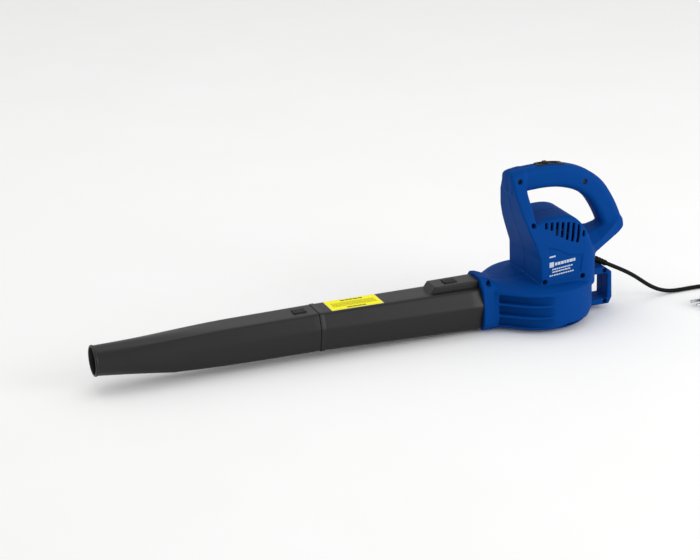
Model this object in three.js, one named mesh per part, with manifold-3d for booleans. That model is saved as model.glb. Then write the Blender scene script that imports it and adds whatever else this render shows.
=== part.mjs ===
// Corded electric leaf blower, upright motor over a flat fan housing, two-piece blower tube.
// Millimetres, +Z up, -X towards the nozzle. The origin is on the fan axis, on the surface that it
// stands on.
import * as THREE from "three";
import { mergeVertices } from "three/addons/utils/BufferGeometryUtils.js";
import Module from "manifold-3d";

const wasm = await Module();
wasm.setup();

// ---------------------------------------------------------------- driving dimensions
const GAP = 0.3;                 // clearance between pieces that meet
const WALL = 2.6;                // moulded wall thickness of the body
const TUBE_WALL = 2.1;
const SEAM = 0.15;               // half the gap between the two housing halves

const VOLUTE_RADIUS = 92;        // rim of the fan housing
const VOLUTE_BOTTOM = 3;
const VOLUTE_TOP = 72;
const VOLUTE_CROWN = 79;
const COLLAR_BACK = -91;         // the outlet collar runs from here ...
const COLLAR_FRONT = -114;       // ... to here, where the rear tube butts against it
const TUBE_JOINT = -397;         // the nozzle tube butts against the rear tube here
const NOZZLE_FRONT = -766;
const SPIGOT_LENGTH = 62;        // how far one tube reaches into the next
const NOZZLE_RADIUS = 24;
const NOZZLE_CENTRE = 51;

const AXIS_X = 20;               // the fan axis lies this far behind the centre of the round outline
const INLET_RADIUS = 48;
const GRILLE_RADIUS = 55;
const IMPELLER_RADIUS = 62;
const SHAFT_RADIUS = 4;
const MOTOR_PLATE_BOTTOM = 70;
const MOTOR_PLATE_TOP = 74;
const MOTOR_PLATE_RADIUS = 48;
const GRIP_WIDTH = 36;
const GRIP_HEIGHT = 39;
const EAR_HALF_WIDTH = 20;
const CORD_DIAMETER = 7;

const SWITCH_TRAVEL = 8;

// ---------------------------------------------------------------- materials
const paint = (color, roughness, metalness = 0) => new THREE.MeshStandardMaterial({ color, roughness, metalness });
const BLUE = paint("#00408f", 0.5);
const CHARCOAL = paint("#2f2f31", 0.55);
const BLACK = paint("#18181a", 0.6);
const YELLOW = paint("#f6ec18", 0.4);
const PALE = paint("#d8dde2", 0.4);
const STEEL = paint("#a9adb2", 0.35, 1);
const DARK_STEEL = paint("#4b4d50", 0.5, 1);
const COPPER = paint("#b0652f", 0.4, 1);
const CARBON = paint("#26262a", 0.8);
const RUBBER = paint("#131314", 0.85);

// ---------------------------------------------------------------- solids
// A closed geometry as a manifold solid that can be joined and cut, its faces turned outwards if they point in.
function solid(geometry) {
  const bare = geometry.clone();
  bare.deleteAttribute("normal");
  bare.deleteAttribute("uv");
  const merged = mergeVertices(bare, 1e-4);
  const index = merged.index.array;
  const corner = [0, 1, 2].map(() => new THREE.Vector3());
  let volume = 0;
  for (let i = 0; i < index.length; i += 3) {
    corner.forEach((p, k) => p.fromBufferAttribute(merged.attributes.position, index[i + k]));
    volume += corner[0].dot(corner[1].cross(corner[2]));
  }
  if (volume < 0) index.reverse();
  return new wasm.Manifold(new wasm.Mesh({
    numProp: 3,
    vertProperties: new Float32Array(merged.attributes.position.array),
    triVerts: new Uint32Array(index),
  }));
}

function geometryOf(body) {
  const mesh = body.getMesh();
  const geometry = new THREE.BufferGeometry();
  geometry.setAttribute("position", new THREE.BufferAttribute(new Float32Array(mesh.vertProperties), 3));
  geometry.setIndex(new THREE.BufferAttribute(new Uint32Array(mesh.triVerts), 1));
  geometry.computeVertexNormals();
  return geometry;
}

const joined = (bodies) => bodies.reduce((whole, body) => whole.add(body));
const cut = (body, tools) => tools.reduce((rest, tool) => rest.subtract(tool), body);

function block(x0, x1, y0, y1, z0, z1) {
  const box = new THREE.BoxGeometry(x1 - x0, y1 - y0, z1 - z0);
  box.translate((x0 + x1) / 2, (y0 + y1) / 2, (z0 + z1) / 2);
  return solid(box);
}

// The turn that lays a shape drawn in its own x and y across an axis, with its depth along that axis.
// "y" takes a shape drawn in X and Z, "x" one drawn in Y and Z.
function facing(axis) {
  const turn = new THREE.Matrix4();
  const vector = (x, y, z) => new THREE.Vector3(x, y, z);
  if (axis === "y") turn.makeBasis(vector(1, 0, 0), vector(0, 0, 1), vector(0, -1, 0));
  if (axis === "x") turn.makeBasis(vector(0, 1, 0), vector(0, 0, 1), vector(1, 0, 0));
  return turn;
}

// A flat shape carried from lo to hi along an axis.
function prism(axis, shape, lo, hi, curveSegments = 8) {
  const geometry = new THREE.ExtrudeGeometry(shape, { depth: hi - lo, bevelEnabled: false, curveSegments });
  geometry.translate(0, 0, axis === "y" ? -hi : lo);
  geometry.applyMatrix4(facing(axis));
  return solid(geometry);
}

// A round bar or cone from lo to hi along an axis; (a, b) is its centre in the other two coordinates.
function rod(axis, radius, lo, hi, a = 0, b = 0, sides = 24, endRadius = radius) {
  const geometry = new THREE.CylinderGeometry(endRadius, radius, hi - lo, sides);
  if (axis === "z") geometry.rotateX(Math.PI / 2);
  if (axis === "x") geometry.rotateZ(-Math.PI / 2);
  const middle = (lo + hi) / 2;
  if (axis === "z") geometry.translate(a, b, middle);
  if (axis === "y") geometry.translate(a, middle, b);
  if (axis === "x") geometry.translate(middle, a, b);
  return solid(geometry);
}

// A ring or drum turned about the Z axis from a closed profile of [radius, z] points.
function turned(profile, sides = 32) {
  const points = [...profile, profile[0]].map(([r, z]) => new THREE.Vector2(r, z));
  const geometry = new THREE.LatheGeometry(points, sides);
  geometry.rotateX(Math.PI / 2);
  return solid(geometry);
}

// A skin through rings of equally many points, with a flat fan over each end.
function loft(rings) {
  const count = rings[0].length;
  const middle = (ring) => ring.reduce((sum, p) => sum.add(p), new THREE.Vector3()).divideScalar(count);
  const points = [...rings.flat(), middle(rings[0]), middle(rings[rings.length - 1])];
  const first = rings.length * count;
  const faces = [];
  for (let i = 0; i < count; i += 1) {
    const next = (i + 1) % count;
    for (let r = 0; r < rings.length - 1; r += 1) {
      const a = r * count + i;
      const b = r * count + next;
      faces.push([a, b, b + count], [a, b + count, a + count]);
    }
    const last = (rings.length - 1) * count;
    faces.push([first, next, i], [first + 1, last + i, last + next]);
  }
  const geometry = new THREE.BufferGeometry();
  geometry.setAttribute("position", new THREE.Float32BufferAttribute(points.flatMap((p) => p.toArray()), 3));
  geometry.setIndex(faces.flat());
  return solid(geometry);
}

// A value read off straight lines between [at, value] stations.
function between(stations, at) {
  const last = stations.length - 1;
  if (at <= stations[0][0]) return stations[0][1];
  if (at >= stations[last][0]) return stations[last][1];
  const k = stations.findIndex(([x]) => x > at);
  const [x0, v0] = stations[k - 1];
  const [x1, v1] = stations[k];
  return v0 + ((v1 - v0) * (at - x0)) / (x1 - x0);
}

// Corners of a polygon replaced by soft arcs that start `reach` before each corner.
function roundCorners(corners, reach, steps = 3) {
  const points = [];
  const count = corners.length;
  corners.forEach((corner, i) => {
    const before = corners[(i + count - 1) % count];
    const after = corners[(i + 1) % count];
    const r = Array.isArray(reach) ? reach[i] : reach;
    const from = corner.clone().lerp(before, Math.min(0.48, r / corner.distanceTo(before)));
    const to = corner.clone().lerp(after, Math.min(0.48, r / corner.distanceTo(after)));
    points.push(...new THREE.QuadraticBezierCurve(from, corner, to).getPoints(steps));
  });
  return points;
}

// Two more points on each straight side of an outline whose corners are arcs of `perCorner` points.
function withSidePoints(points, perCorner) {
  return points.flatMap((p, i) => {
    if (i % perCorner !== perCorner - 1) return [p];
    const next = points[(i + 1) % points.length];
    return [p, p.clone().lerp(next, 1 / 3), p.clone().lerp(next, 2 / 3)];
  });
}

const flat = (pairs) => pairs.map(([a, b]) => new THREE.Vector2(a, b));

// A closed outline through points, smooth where it bends.
function smoothShape(pairs, closedBy = []) {
  const curve = new THREE.SplineCurve(flat(pairs));
  return new THREE.Shape([...curve.getPoints(pairs.length * 2), ...flat(closedBy)]);
}

// ---------------------------------------------------------------- blower tube sections
// Half widths at the top, at the side ridge and at the bottom, and the three heights, along the tube.
const TUBE_TOP = [[NOZZLE_FRONT, NOZZLE_CENTRE + NOZZLE_RADIUS], [TUBE_JOINT, 77.5], [COLLAR_FRONT, 76]];
const TUBE_BOTTOM = [[NOZZLE_FRONT, NOZZLE_CENTRE - NOZZLE_RADIUS], [-640, 14], [-506, 12.5], [TUBE_JOINT, 12],
  [COLLAR_FRONT, 5]];
const TOP_HALF = [[NOZZLE_FRONT, 23], [TUBE_JOINT, 25], [COLLAR_FRONT, 27]];
const RIDGE_HALF = [[NOZZLE_FRONT, 24], [-640, 28], [TUBE_JOINT, 34], [COLLAR_FRONT, 39.5]];
const FOOT_HALF = [[NOZZLE_FRONT, 22], [TUBE_JOINT, 27], [COLLAR_FRONT, 31]];

// One ring of the tube's skin at x, moved inwards by inset. It is a six-sided section that turns round at the mouth.
function tubeRing(x, inset = 0) {
  const top = between(TUBE_TOP, x) - inset;
  const bottom = between(TUBE_BOTTOM, x) + inset;
  const ridge = bottom + 0.62 * (top - bottom);
  const topHalf = between(TOP_HALF, x) - inset;
  const ridgeHalf = between(RIDGE_HALF, x) - inset;
  const footHalf = between(FOOT_HALF, x) - inset;
  const corners = flat([[topHalf, top], [ridgeHalf, ridge], [footHalf, bottom], [-footHalf, bottom],
    [-ridgeHalf, ridge], [-topHalf, top]]);
  const soft = withSidePoints(roundCorners(corners, [5, 5, 9, 9, 5, 5], 2), 3);
  const centre = new THREE.Vector2(0, (top + bottom) / 2);
  const radius = (top - bottom) / 2;
  const roundness = THREE.MathUtils.smoothstep(-x, 600, -NOZZLE_FRONT - 16);
  return soft.map((p) => {
    const round = p.clone().sub(centre).setLength(radius).add(centre);
    const q = p.clone().lerp(round, roundness);
    return new THREE.Vector3(x, q.x, q.y);
  });
}

function tubeSkin(from, to, steps, inset = 0) {
  const rings = [];
  for (let i = 0; i <= steps; i += 1) {
    rings.push(tubeRing(from + ((to - from) * i) / steps, inset));
  }
  return loft(rings);
}

const OPEN_END = 5;              // a bore's cutter runs this far past the end that it opens
const SPIGOT_INSET = TUBE_WALL + 0.5;

// ---------------------------------------------------------------- housing outline
// Front edge of the body and its half width, by height.
const FRONT_EDGE = [[60, -21], [121, -22], [152, -32], [171, -39], [195, -46], [225, -52], [262, -54]];
const HALF_WIDTH = [[60, 63], [121, 62], [152, 59.5], [171, 54], [190, 48], [227, 32], [257, 18],
  [270, 12]];
const BLOCK_REAR = 88;

function blockRing(z, inset, rearCorner) {
  const front = between(FRONT_EDGE, z) + inset;
  const half = between(HALF_WIDTH, z) - inset;
  const rear = BLOCK_REAR - inset;
  const corners = flat([[front, -half], [rear, -half], [rear, half], [front, half]]);
  const reach = [6, rearCorner, rearCorner, 6];
  return roundCorners(corners, reach, 3).map((p) => new THREE.Vector3(p.x, p.y, z));
}

const BLOCK_LEVELS = [62, 121, 152, 171, 190, 227, 242, 257, 268];

// Motor block with the front post that carries the grip, as seen from the side.
const BLOCK_SIDE = smoothShape(
  [[-24, 182], [-10, 184.5], [15, 187], [37, 185], [50, 179.5], [61, 168], [71, 151], [81.5, 125], [88, 104]],
  [[92, 62], [-60, 62], [-60, 257], [-54, 257.5], [-38, 262.5], [-30, 264], [-30, 226], [-28, 212]],
);
const blockBody = loft(BLOCK_LEVELS.map((z) => blockRing(z, 0, 34))).intersect(prism("y", BLOCK_SIDE, -70, 70, 4));

const CHAMBER_LEVELS = [76, 121, 152, 171, 189];
const chamberSide = smoothShape([[-16, 168], [0, 178], [15, 182], [36, 180], [48, 174], [58, 163], [67.5, 147],
  [78, 122], [84, 102]], [[84, 70], [-24, 70], [-22, 140]]);
const motorChamber = loft(CHAMBER_LEVELS.map((z) => blockRing(z, WALL + 0.8, 30)))
  .intersect(prism("y", chamberSide, -70, 70, 4));

// Grip: a rounded section along an arched line from the front post down to the brace.
const GRIP_LINE = new THREE.CatmullRomCurve3([
  [-44, 245], [-15, 247.3], [17, 247.3], [46, 242.8], [76, 232], [100, 214], [117, 189], [129.5, 162.5],
  [136.5, 141],
].map(([x, z]) => new THREE.Vector3(x, 0, z)), false, "centripetal");

function gripSweep(width, height, from = 0, to = 1, steps = 14) {
  const corners = flat([[-height / 2, -width / 2], [height / 2, -width / 2], [height / 2, width / 2],
    [-height / 2, width / 2]]);
  const section = roundCorners(corners, Math.min(width, height) * 0.36, 2);
  const rings = [];
  for (let i = 0; i <= steps; i += 1) {
    const t = from + ((to - from) * i) / steps;
    const centre = GRIP_LINE.getPointAt(t);
    const along = GRIP_LINE.getTangentAt(t);
    const outward = new THREE.Vector3(-along.z, 0, along.x);
    rings.push(section.map((p) => centre.clone().addScaledVector(outward, p.x).add(new THREE.Vector3(0, p.y, 0))));
  }
  return loft(rings);
}

// Brace from the back of the motor block up to the heel of the grip: a wide rim below, a narrow ridge above.
const BRACE = [
  { x: 60, under: 96, rim: 122, top: 140, rimHalf: 52, topHalf: 40 },
  { x: 80, under: 110, rim: 126, top: 143, rimHalf: 46, topHalf: 24 },
  { x: 100, under: 117, rim: 131, top: 146, rimHalf: 37, topHalf: 17 },
  { x: 123, under: 126, rim: 144, top: 152, rimHalf: 28, topHalf: 17 },
  { x: 143, under: 134, rim: 158, top: 162, rimHalf: 20, topHalf: 17 },
  { x: 153.5, under: 142, rim: 150, top: 155, rimHalf: 17, topHalf: 16 },
];
const braceBody = loft(BRACE.map(({ x, under, rim, top, rimHalf, topHalf }) => roundCorners(
  flat([[-rimHalf, under], [rimHalf, under], [rimHalf, rim], [topHalf, top], [-topHalf, top], [-rimHalf, rim]]),
  2, 2).map((p) => new THREE.Vector3(x, p.x, p.y))));

// Fan housing seen from above: a circle with straight cheeks that run to the outlet collar.
const CHEEK_ANGLE = (133 * Math.PI) / 180;
const COLLAR_HALF = 41;

function voluteRing(z, inset, sides = 32) {
  const radius = VOLUTE_RADIUS - inset;
  const ring = [];
  for (let i = 0; i <= sides; i += 1) {
    const angle = CHEEK_ANGLE - (2 * CHEEK_ANGLE * i) / sides;
    ring.push(new THREE.Vector3(radius * Math.cos(angle), radius * Math.sin(angle), z));
  }
  const half = COLLAR_HALF - 0.6 * Math.min(inset, 20);
  ring.push(new THREE.Vector3(COLLAR_BACK - 2, -half, z), new THREE.Vector3(COLLAR_BACK - 2, half, z));
  return ring;
}

const voluteBody = loft([[VOLUTE_BOTTOM, 18], [6, 10.5], [12, 4], [22, 0], [70, 0], [VOLUTE_TOP, 2],
  [75.5, 14], [78, 34], [VOLUTE_CROWN, 64]].map(([z, inset]) => voluteRing(z, inset)));

// Pockets in the left cheek, between the rim plates and two ribs, where the scroll wall curls in to the fan.
const POCKET = smoothShape([[-89, -31], [-76, -37], [-60, -51], [-42, -67.5], [-24, -81.5], [-9, -92.5]],
  [[10, -110], [-89, -110]]);
const POCKET_LEVELS = [[12, 28], [32, 48], [52, 67]];
const pockets = POCKET_LEVELS.map(([lo, hi]) => prism("z", POCKET, lo, hi, 4));

// Outlet collar: the tube's section with a hood over the latch box.
const COLLAR_CORNERS = [[20, 94], [37, 76], [41.5, 50], [41.5, 16], [31, 3], [-31, 3], [-41.5, 16], [-41.5, 50],
  [-37, 76], [-20, 94]];
function collarRing(x, hood, grow = 0) {
  const corners = flat(COLLAR_CORNERS.map(([y, z]) => {
    const lowered = z > 80 ? VOLUTE_CROWN + hood : z;
    return [y + Math.sign(y) * grow, lowered];
  }));
  return roundCorners(corners, 7, 2).map((p) => new THREE.Vector3(x, p.x, p.y));
}
const collarBody = loft([collarRing(COLLAR_FRONT, 14.5), collarRing(-106, 13.5), collarRing(-96, 9.5),
  collarRing(-84, 3), collarRing(-66, -1, -8)]);

// Loop behind the fan housing that holds the extension lead.
const EAR_OUTLINE = flat([[70, 9], [126, 9], [132, 20], [131, 66], [118, 76], [70, 76]]);
const EAR = new THREE.Shape(roundCorners(EAR_OUTLINE, 6, 3));
const EAR_SLOT = new THREE.Shape(roundCorners(flat([[94, 20], [122.5, 20], [122.5, 64], [94, 64]]), 5, 3));
const earBody = prism("y", EAR, -EAR_HALF_WIDTH, EAR_HALF_WIDTH);
const earSlot = prism("y", EAR_SLOT, -EAR_HALF_WIDTH - 5, EAR_HALF_WIDTH + 5);

// Spigot that the rear tube slides over. A slot open at its end lets the latch button through.
const spigotBody = tubeSkin(COLLAR_FRONT - SPIGOT_LENGTH, COLLAR_FRONT + 12, 1, SPIGOT_INSET);
const BUTTON_HALF = 9;
const spigotSlot = block(COLLAR_FRONT - SPIGOT_LENGTH - 2, COLLAR_FRONT - 18, -BUTTON_HALF - 1,
  BUTTON_HALF + 1, 55, 90);

// ---------------------------------------------------------------- hollows
const CHAMBER = smoothShape([[-84, -28], [-74, -33], [-57, -46], [-36, -63], [-12, -78.5], [8, -87], [40, -78],
  [70, -52], [86, -12], [85, 22], [66, 58], [30, 83], [-8, 88], [-44, 77], [-74, 53], [-92, 36]],
  [[-92, -28]]);
const fanChamber = prism("z", CHAMBER, 8, 67.5, 4);
const outletDuct = tubeSkin(COLLAR_FRONT - SPIGOT_LENGTH - 2, COLLAR_BACK, 2, SPIGOT_INSET + 2.2);
const inletBore = rod("z", INLET_RADIUS, VOLUTE_BOTTOM - 5, 12, AXIS_X, 0, 32);
const grilleSeat = rod("z", GRILLE_RADIUS + GAP, VOLUTE_BOTTOM - 5, 5.7, AXIS_X, 0, 36);
const plateGroove = rod("z", MOTOR_PLATE_RADIUS + GAP, MOTOR_PLATE_BOTTOM - GAP, MOTOR_PLATE_TOP + GAP,
  AXIS_X, 0, 32);
const plateOpening = rod("z", MOTOR_PLATE_RADIUS - 8, 60, VOLUTE_CROWN - 0.6, AXIS_X, 0, 32);
const postHollow = loft([186, 208, 227, 240].map((z) => blockRing(z, WALL + 0.6, 30)))
  .intersect(block(-60, -33, -60, 60, 186, 240));

// A round bar that tapers along a line in the centre plane, from [x, z, radius] stations.
function taper(stations, grow = 0, sides = 12) {
  const rings = stations.map(([x, z, radius], i) => {
    const [x0, z0] = stations[Math.max(0, i - 1)];
    const [x1, z1] = stations[Math.min(stations.length - 1, i + 1)];
    const up = new THREE.Vector3(z0 - z1, 0, x1 - x0).normalize();
    const ring = [];
    for (let k = 0; k < sides; k += 1) {
      const angle = (2 * Math.PI * k) / sides;
      ring.push(new THREE.Vector3(x, 0, z).addScaledVector(up, (radius + grow) * Math.cos(angle))
        .add(new THREE.Vector3(0, (radius + grow) * Math.sin(angle), 0)));
    }
    return ring;
  });
  return loft(rings);
}

// Strain relief: centre line and radius, from inside the rear wall to its tip.
const RELIEF = [[77, 93.5, 6.3], [90, 93, 6.3], [97, 90.6, 6.2], [108, 85.8, 5.8], [119, 80.2, 5.3],
  [130, 74.4, 4.7]];
const reliefPassage = taper(RELIEF, 0.5);
const VENT_PITCH = 10;
const VENT_WIDTH = 4.5;
const VENT_COUNT = 8;
const VENT_LEAN = 0.24;          // how far a slot leans back, per millimetre of height
// Lower and upper end of each cooling slot.
const VENT_ENDS = [[171, 180], [168, 180], [159, 179.5], [155, 178.5], [149.5, 177], [146, 175], [143, 171],
  [151.5, 160.5]];

function ventSlots(side) {
  const slots = [];
  for (let i = 0; i < VENT_COUNT; i += 1) {
    const [low, high] = VENT_ENDS[i];
    const x = -14 + i * VENT_PITCH;
    const shift = (z) => (z - 158) * VENT_LEAN;
    const shape = new THREE.Shape(flat([[x + shift(low), low], [x + VENT_WIDTH + shift(low), low],
      [x + VENT_WIDTH + shift(high), high], [x + shift(high), high]]));
    const edges = [side * 38, side * 75].sort((a, b) => a - b);
    slots.push(prism("y", shape, edges[0], edges[1]));
  }
  return slots;
}

// Shallow recess for the rating label, and the label in it, both at an even depth below the side wall.
const labelOutline = (inset) => smoothShape([[-9 + inset, 141 - 2 * inset], [12, 134 - inset], [31, 124 - inset],
  [54 - inset, 121.5 - inset]], [[50 - inset, 93 + inset], [-9 + inset, 87 + inset]]);
const skinInside = (inset) => loft(BLOCK_LEVELS.map((z) => blockRing(z, inset, 34)));
const labelPrism = (inset) => prism("y", labelOutline(inset), -70, -40, 4);
const labelRecess = labelPrism(0).subtract(skinInside(1.6));
const sideLabel = labelPrism(2.5).intersect(skinInside(0.8)).subtract(skinInside(1.3));

// Opening in the crown of the grip for the slide switch.
const SWITCH_X = 19;
const WINDOW_HALF_LENGTH = 17;
const WINDOW_HALF_WIDTH = 5.4;
const switchWindow = block(SWITCH_X - WINDOW_HALF_LENGTH, SWITCH_X + WINDOW_HALF_LENGTH, -WINDOW_HALF_WIDTH,
  WINDOW_HALF_WIDTH, 250, 275);

// ---------------------------------------------------------------- housing screws
// Place of each screw, the outside of the wall that it enters, and how deep its head is sunk.
const SCREWS = [
  { name: "grip_front", x: -41, z: 248, wall: 24, sink: 9 },
  { name: "post", x: -30, z: 179, wall: 52, sink: 16 },
  { name: "grip_rear", x: 79, z: 231, wall: 18, sink: 5 },
  { name: "block_front", x: -15, z: 83, wall: 63, sink: 12 },
  { name: "block_rear", x: 54, z: 84, wall: 63, sink: 12 },
  { name: "collar", x: -101, z: 82.5, wall: 32, sink: 16 },
  { name: "loop_upper", x: 117, z: 69.8, wall: EAR_HALF_WIDTH, sink: 8 },
  { name: "loop_lower", x: 118, z: 14.5, wall: EAR_HALF_WIDTH, sink: 8 },
];
const HEAD_RADIUS = 3.4;
const HEAD_HEIGHT = 2.4;
const SHANK_RADIUS = 1.8;
const SHANK_REACH = 9;           // how far a screw goes into the right half

const screwBosses = SCREWS.map((s) => rod("y", 5.4, -s.wall, s.wall, s.x, s.z, 12));
const screwHoles = SCREWS.flatMap((s) => [
  rod("y", HEAD_RADIUS + 0.8, -s.wall - 6, -s.wall + s.sink, s.x, s.z, 14),
  rod("y", SHANK_RADIUS + GAP, -s.wall + s.sink - 1, SHANK_REACH + 1, s.x, s.z, 8),
]);

function screw(s) {
  const seat = -s.wall + s.sink - GAP;
  const head = rod("y", HEAD_RADIUS, seat - HEAD_HEIGHT, seat, s.x, s.z, 14);
  const shank = rod("y", SHANK_RADIUS, seat - 0.5, SHANK_REACH, s.x, s.z, 8);
  const slots = [block(s.x - 2, s.x + 2, seat - 5, seat - 1.2, s.z - 0.5, s.z + 0.5),
    block(s.x - 0.5, s.x + 0.5, seat - 5, seat - 1.2, s.z - 2, s.z + 2)];
  return cut(head.add(shank), slots);
}

// ---------------------------------------------------------------- housing halves
const outside = joined([blockBody, gripSweep(GRIP_WIDTH, GRIP_HEIGHT), braceBody, voluteBody, collarBody, earBody,
  spigotBody]);
const gripHollow = gripSweep(GRIP_WIDTH - 7, GRIP_HEIGHT - 7, 0.06, 0.8, 10);
const hollow = joined([motorChamber, fanChamber, inletBore, gripHollow, postHollow]);
const shell = cut(outside.subtract(hollow).add(joined(screwBosses).intersect(outside)),
  [...pockets, earSlot, outletDuct, spigotSlot, grilleSeat, plateGroove, plateOpening, reliefPassage, labelRecess,
    switchWindow, ...ventSlots(-1), ...ventSlots(1), ...screwHoles]);
const FAR = 1200;
const leftHalf = shell.intersect(block(-FAR, FAR, -FAR, -SEAM, -FAR, FAR));
const rightHalf = shell.intersect(block(-FAR, FAR, SEAM, FAR, -FAR, FAR));

// ---------------------------------------------------------------- assembly
// The body group is drawn about the centre of its round outline; the motor group about the fan axis.
const blower = new THREE.Group();
const body = new THREE.Group();
const motor = new THREE.Group();
body.position.x = -AXIS_X;
blower.add(body, motor);

function place(group, name, shape, material) {
  const mesh = new THREE.Mesh(shape.isBufferGeometry ? shape : geometryOf(shape), material);
  mesh.name = name;
  group.add(mesh);
}

place(body, "housing_left", leftHalf, BLUE);
place(body, "housing_right", rightHalf, BLUE);
SCREWS.forEach((s) => place(body, `screw_${s.name}`, screw(s), DARK_STEEL));
place(body, "side_label", sideLabel, PALE);

// ---------------------------------------------------------------- air inlet
const GRILLE_TOP = 5.4;
const GRILLE_BARS = 7;
const grilleSlots = [];
for (let i = 0; i < GRILLE_BARS; i += 1) {
  const y = -39 + 13 * i;
  const reach = Math.sqrt(45 ** 2 - y ** 2);
  grilleSlots.push(block(-reach, reach, y - 4.6, y + 4.6, -1, GRILLE_TOP + 1));
}
const grilleHub = rod("z", 14, 0, GRILLE_TOP, 0, 0, 32);
const grilleSpine = block(-3, 3, -46, 46, 0, GRILLE_TOP);
const GRILLE_SCREWS = [30, 150, 270].map((degrees) => (degrees * Math.PI) / 180);
const grilleScrewAt = GRILLE_SCREWS.map((angle) => [51 * Math.cos(angle), 51 * Math.sin(angle)]);
const grille = cut(cut(rod("z", GRILLE_RADIUS, 0, GRILLE_TOP, 0, 0, 48), grilleSlots).add(grilleHub).add(grilleSpine),
  grilleScrewAt.map(([x, y]) => rod("z", 2.9, 0.9, GRILLE_TOP + 1, x, y, 16).add(rod("z", 2.9, -1, 2, x, y, 16))));
place(motor, "inlet_grille", grille, BLACK);
grilleScrewAt.forEach(([x, y], i) => {
  place(motor, `grille_screw_${i + 1}`, rod("z", 2.6, 1, GRILLE_TOP, x, y, 14), DARK_STEEL);
});

// ---------------------------------------------------------------- fan and motor
const BORE = SHAFT_RADIUS + GAP;
const BLADE_COUNT = 8;

// A thin backward-curving blade, drawn from above.
function bladeShape(inner, outer, sweep, thickness, start) {
  const edge = (side) => [0, 0.5, 1].map((t) => {
    const radius = inner + (outer - inner) * t;
    const angle = start + sweep * t * t + (side * thickness) / (2 * radius);
    return [radius * Math.cos(angle), radius * Math.sin(angle)];
  });
  const curve = (pairs) => new THREE.SplineCurve(flat(pairs)).getPoints(4);
  return new THREE.Shape([...curve(edge(-1)), ...curve(edge(1)).reverse()]);
}

function bladeSet(count, inner, outer, sweep, thickness, lo, hi) {
  const blades = [];
  for (let i = 0; i < count; i += 1) {
    blades.push(prism("z", bladeShape(inner, outer, sweep, thickness, (2 * Math.PI * i) / count), lo, hi));
  }
  return joined(blades);
}

const impellerDisc = turned([[BORE, 20], [12, 20], [13, 55], [IMPELLER_RADIUS, 60], [IMPELLER_RADIUS, 62.5],
  [12, 59], [10, 64], [BORE, 64]], 36);
const impellerShroud = turned([[50, 14], [IMPELLER_RADIUS, 18], [IMPELLER_RADIUS, 20], [50, 16.5]], 36);
const impeller = impellerDisc.add(impellerShroud)
  .add(bladeSet(BLADE_COUNT, 26, IMPELLER_RADIUS - 0.5, -0.75, 2, 19, 58).subtract(
    turned([[20, 10], [IMPELLER_RADIUS + 4, 10], [IMPELLER_RADIUS + 4, 18.5], [50, 15.5], [26, 30], [20, 34]], 36)));
place(motor, "impeller", impeller, BLACK);
place(motor, "impeller_nut", rod("z", 7, 13, 19.7, 0, 0, 6).subtract(rod("z", BORE, 10, 25)), STEEL);
place(motor, "motor_shaft", rod("z", SHAFT_RADIUS, 12, 172), STEEL);

const LOWER_BEARING = 74.6;
const UPPER_BEARING = 160.5;
const BEARING_HEIGHT = 7;
const BEARING_RADIUS = 11;
const bearing = (z) => turned([[BORE, z], [BEARING_RADIUS, z], [BEARING_RADIUS, z + BEARING_HEIGHT],
  [BORE, z + BEARING_HEIGHT]], 28);
place(motor, "bearing_lower", bearing(LOWER_BEARING), STEEL);
place(motor, "bearing_upper", bearing(UPPER_BEARING), STEEL);
const motorPlate = turned([[6, MOTOR_PLATE_BOTTOM], [MOTOR_PLATE_RADIUS, MOTOR_PLATE_BOTTOM],
  [MOTOR_PLATE_RADIUS, MOTOR_PLATE_TOP], [14, MOTOR_PLATE_TOP], [14, 82], [BEARING_RADIUS + GAP, 82],
  [BEARING_RADIUS + GAP, MOTOR_PLATE_TOP], [6, MOTOR_PLATE_TOP]], 28);
const plateVents = [45, 135, 225, 315].map((degrees) => {
  const angle = (degrees * Math.PI) / 180;
  return rod("z", 8, 60, 90, 28 * Math.cos(angle), 28 * Math.sin(angle), 10);
});
place(motor, "motor_plate", cut(motorPlate, plateVents), CHARCOAL);

const coolingFan = turned([[BORE, 92.3], [33, 92.3], [33, 93.6], [9, 93.6], [9, 99.4], [BORE, 99.4]], 28)
  .add(bladeSet(8, 8, 32, 0, 1.6, 93, 99.4));
place(motor, "cooling_fan", coolingFan, BLACK);

// Armature: a slotted core, with the winding heads that stand out of both ends.
const CORE_BOTTOM = 106;
const CORE_TOP = 138;
const CORE_RADIUS = 22;
const CORE_SLOTS = 12;
const coreSlots = [];
for (let i = 0; i < CORE_SLOTS; i += 1) {
  const angle = (2 * Math.PI * i) / CORE_SLOTS;
  coreSlots.push(rod("z", 2.2, CORE_BOTTOM - 1, CORE_TOP + 1, 20.6 * Math.cos(angle), 20.6 * Math.sin(angle), 8));
}
const core = turned([[BORE, CORE_BOTTOM], [CORE_RADIUS, CORE_BOTTOM], [CORE_RADIUS, CORE_TOP], [BORE, CORE_TOP]], 36);
place(motor, "armature_core", cut(core, coreSlots), DARK_STEEL);
const windingHead = (near, far) => turned([[BORE + 1, near], [18, near], [19.5, (near * 2 + far) / 3],
  [15, far], [BORE + 1, far]], 24);
place(motor, "armature_winding_lower", windingHead(CORE_BOTTOM - GAP, 100.8), COPPER);
place(motor, "armature_winding_upper", windingHead(CORE_TOP + GAP, 144.6), COPPER);
const commutator = turned([[BORE, 145], [13, 145], [13, 157], [BORE, 157]], 24);
place(motor, "commutator", commutator, COPPER);

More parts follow.
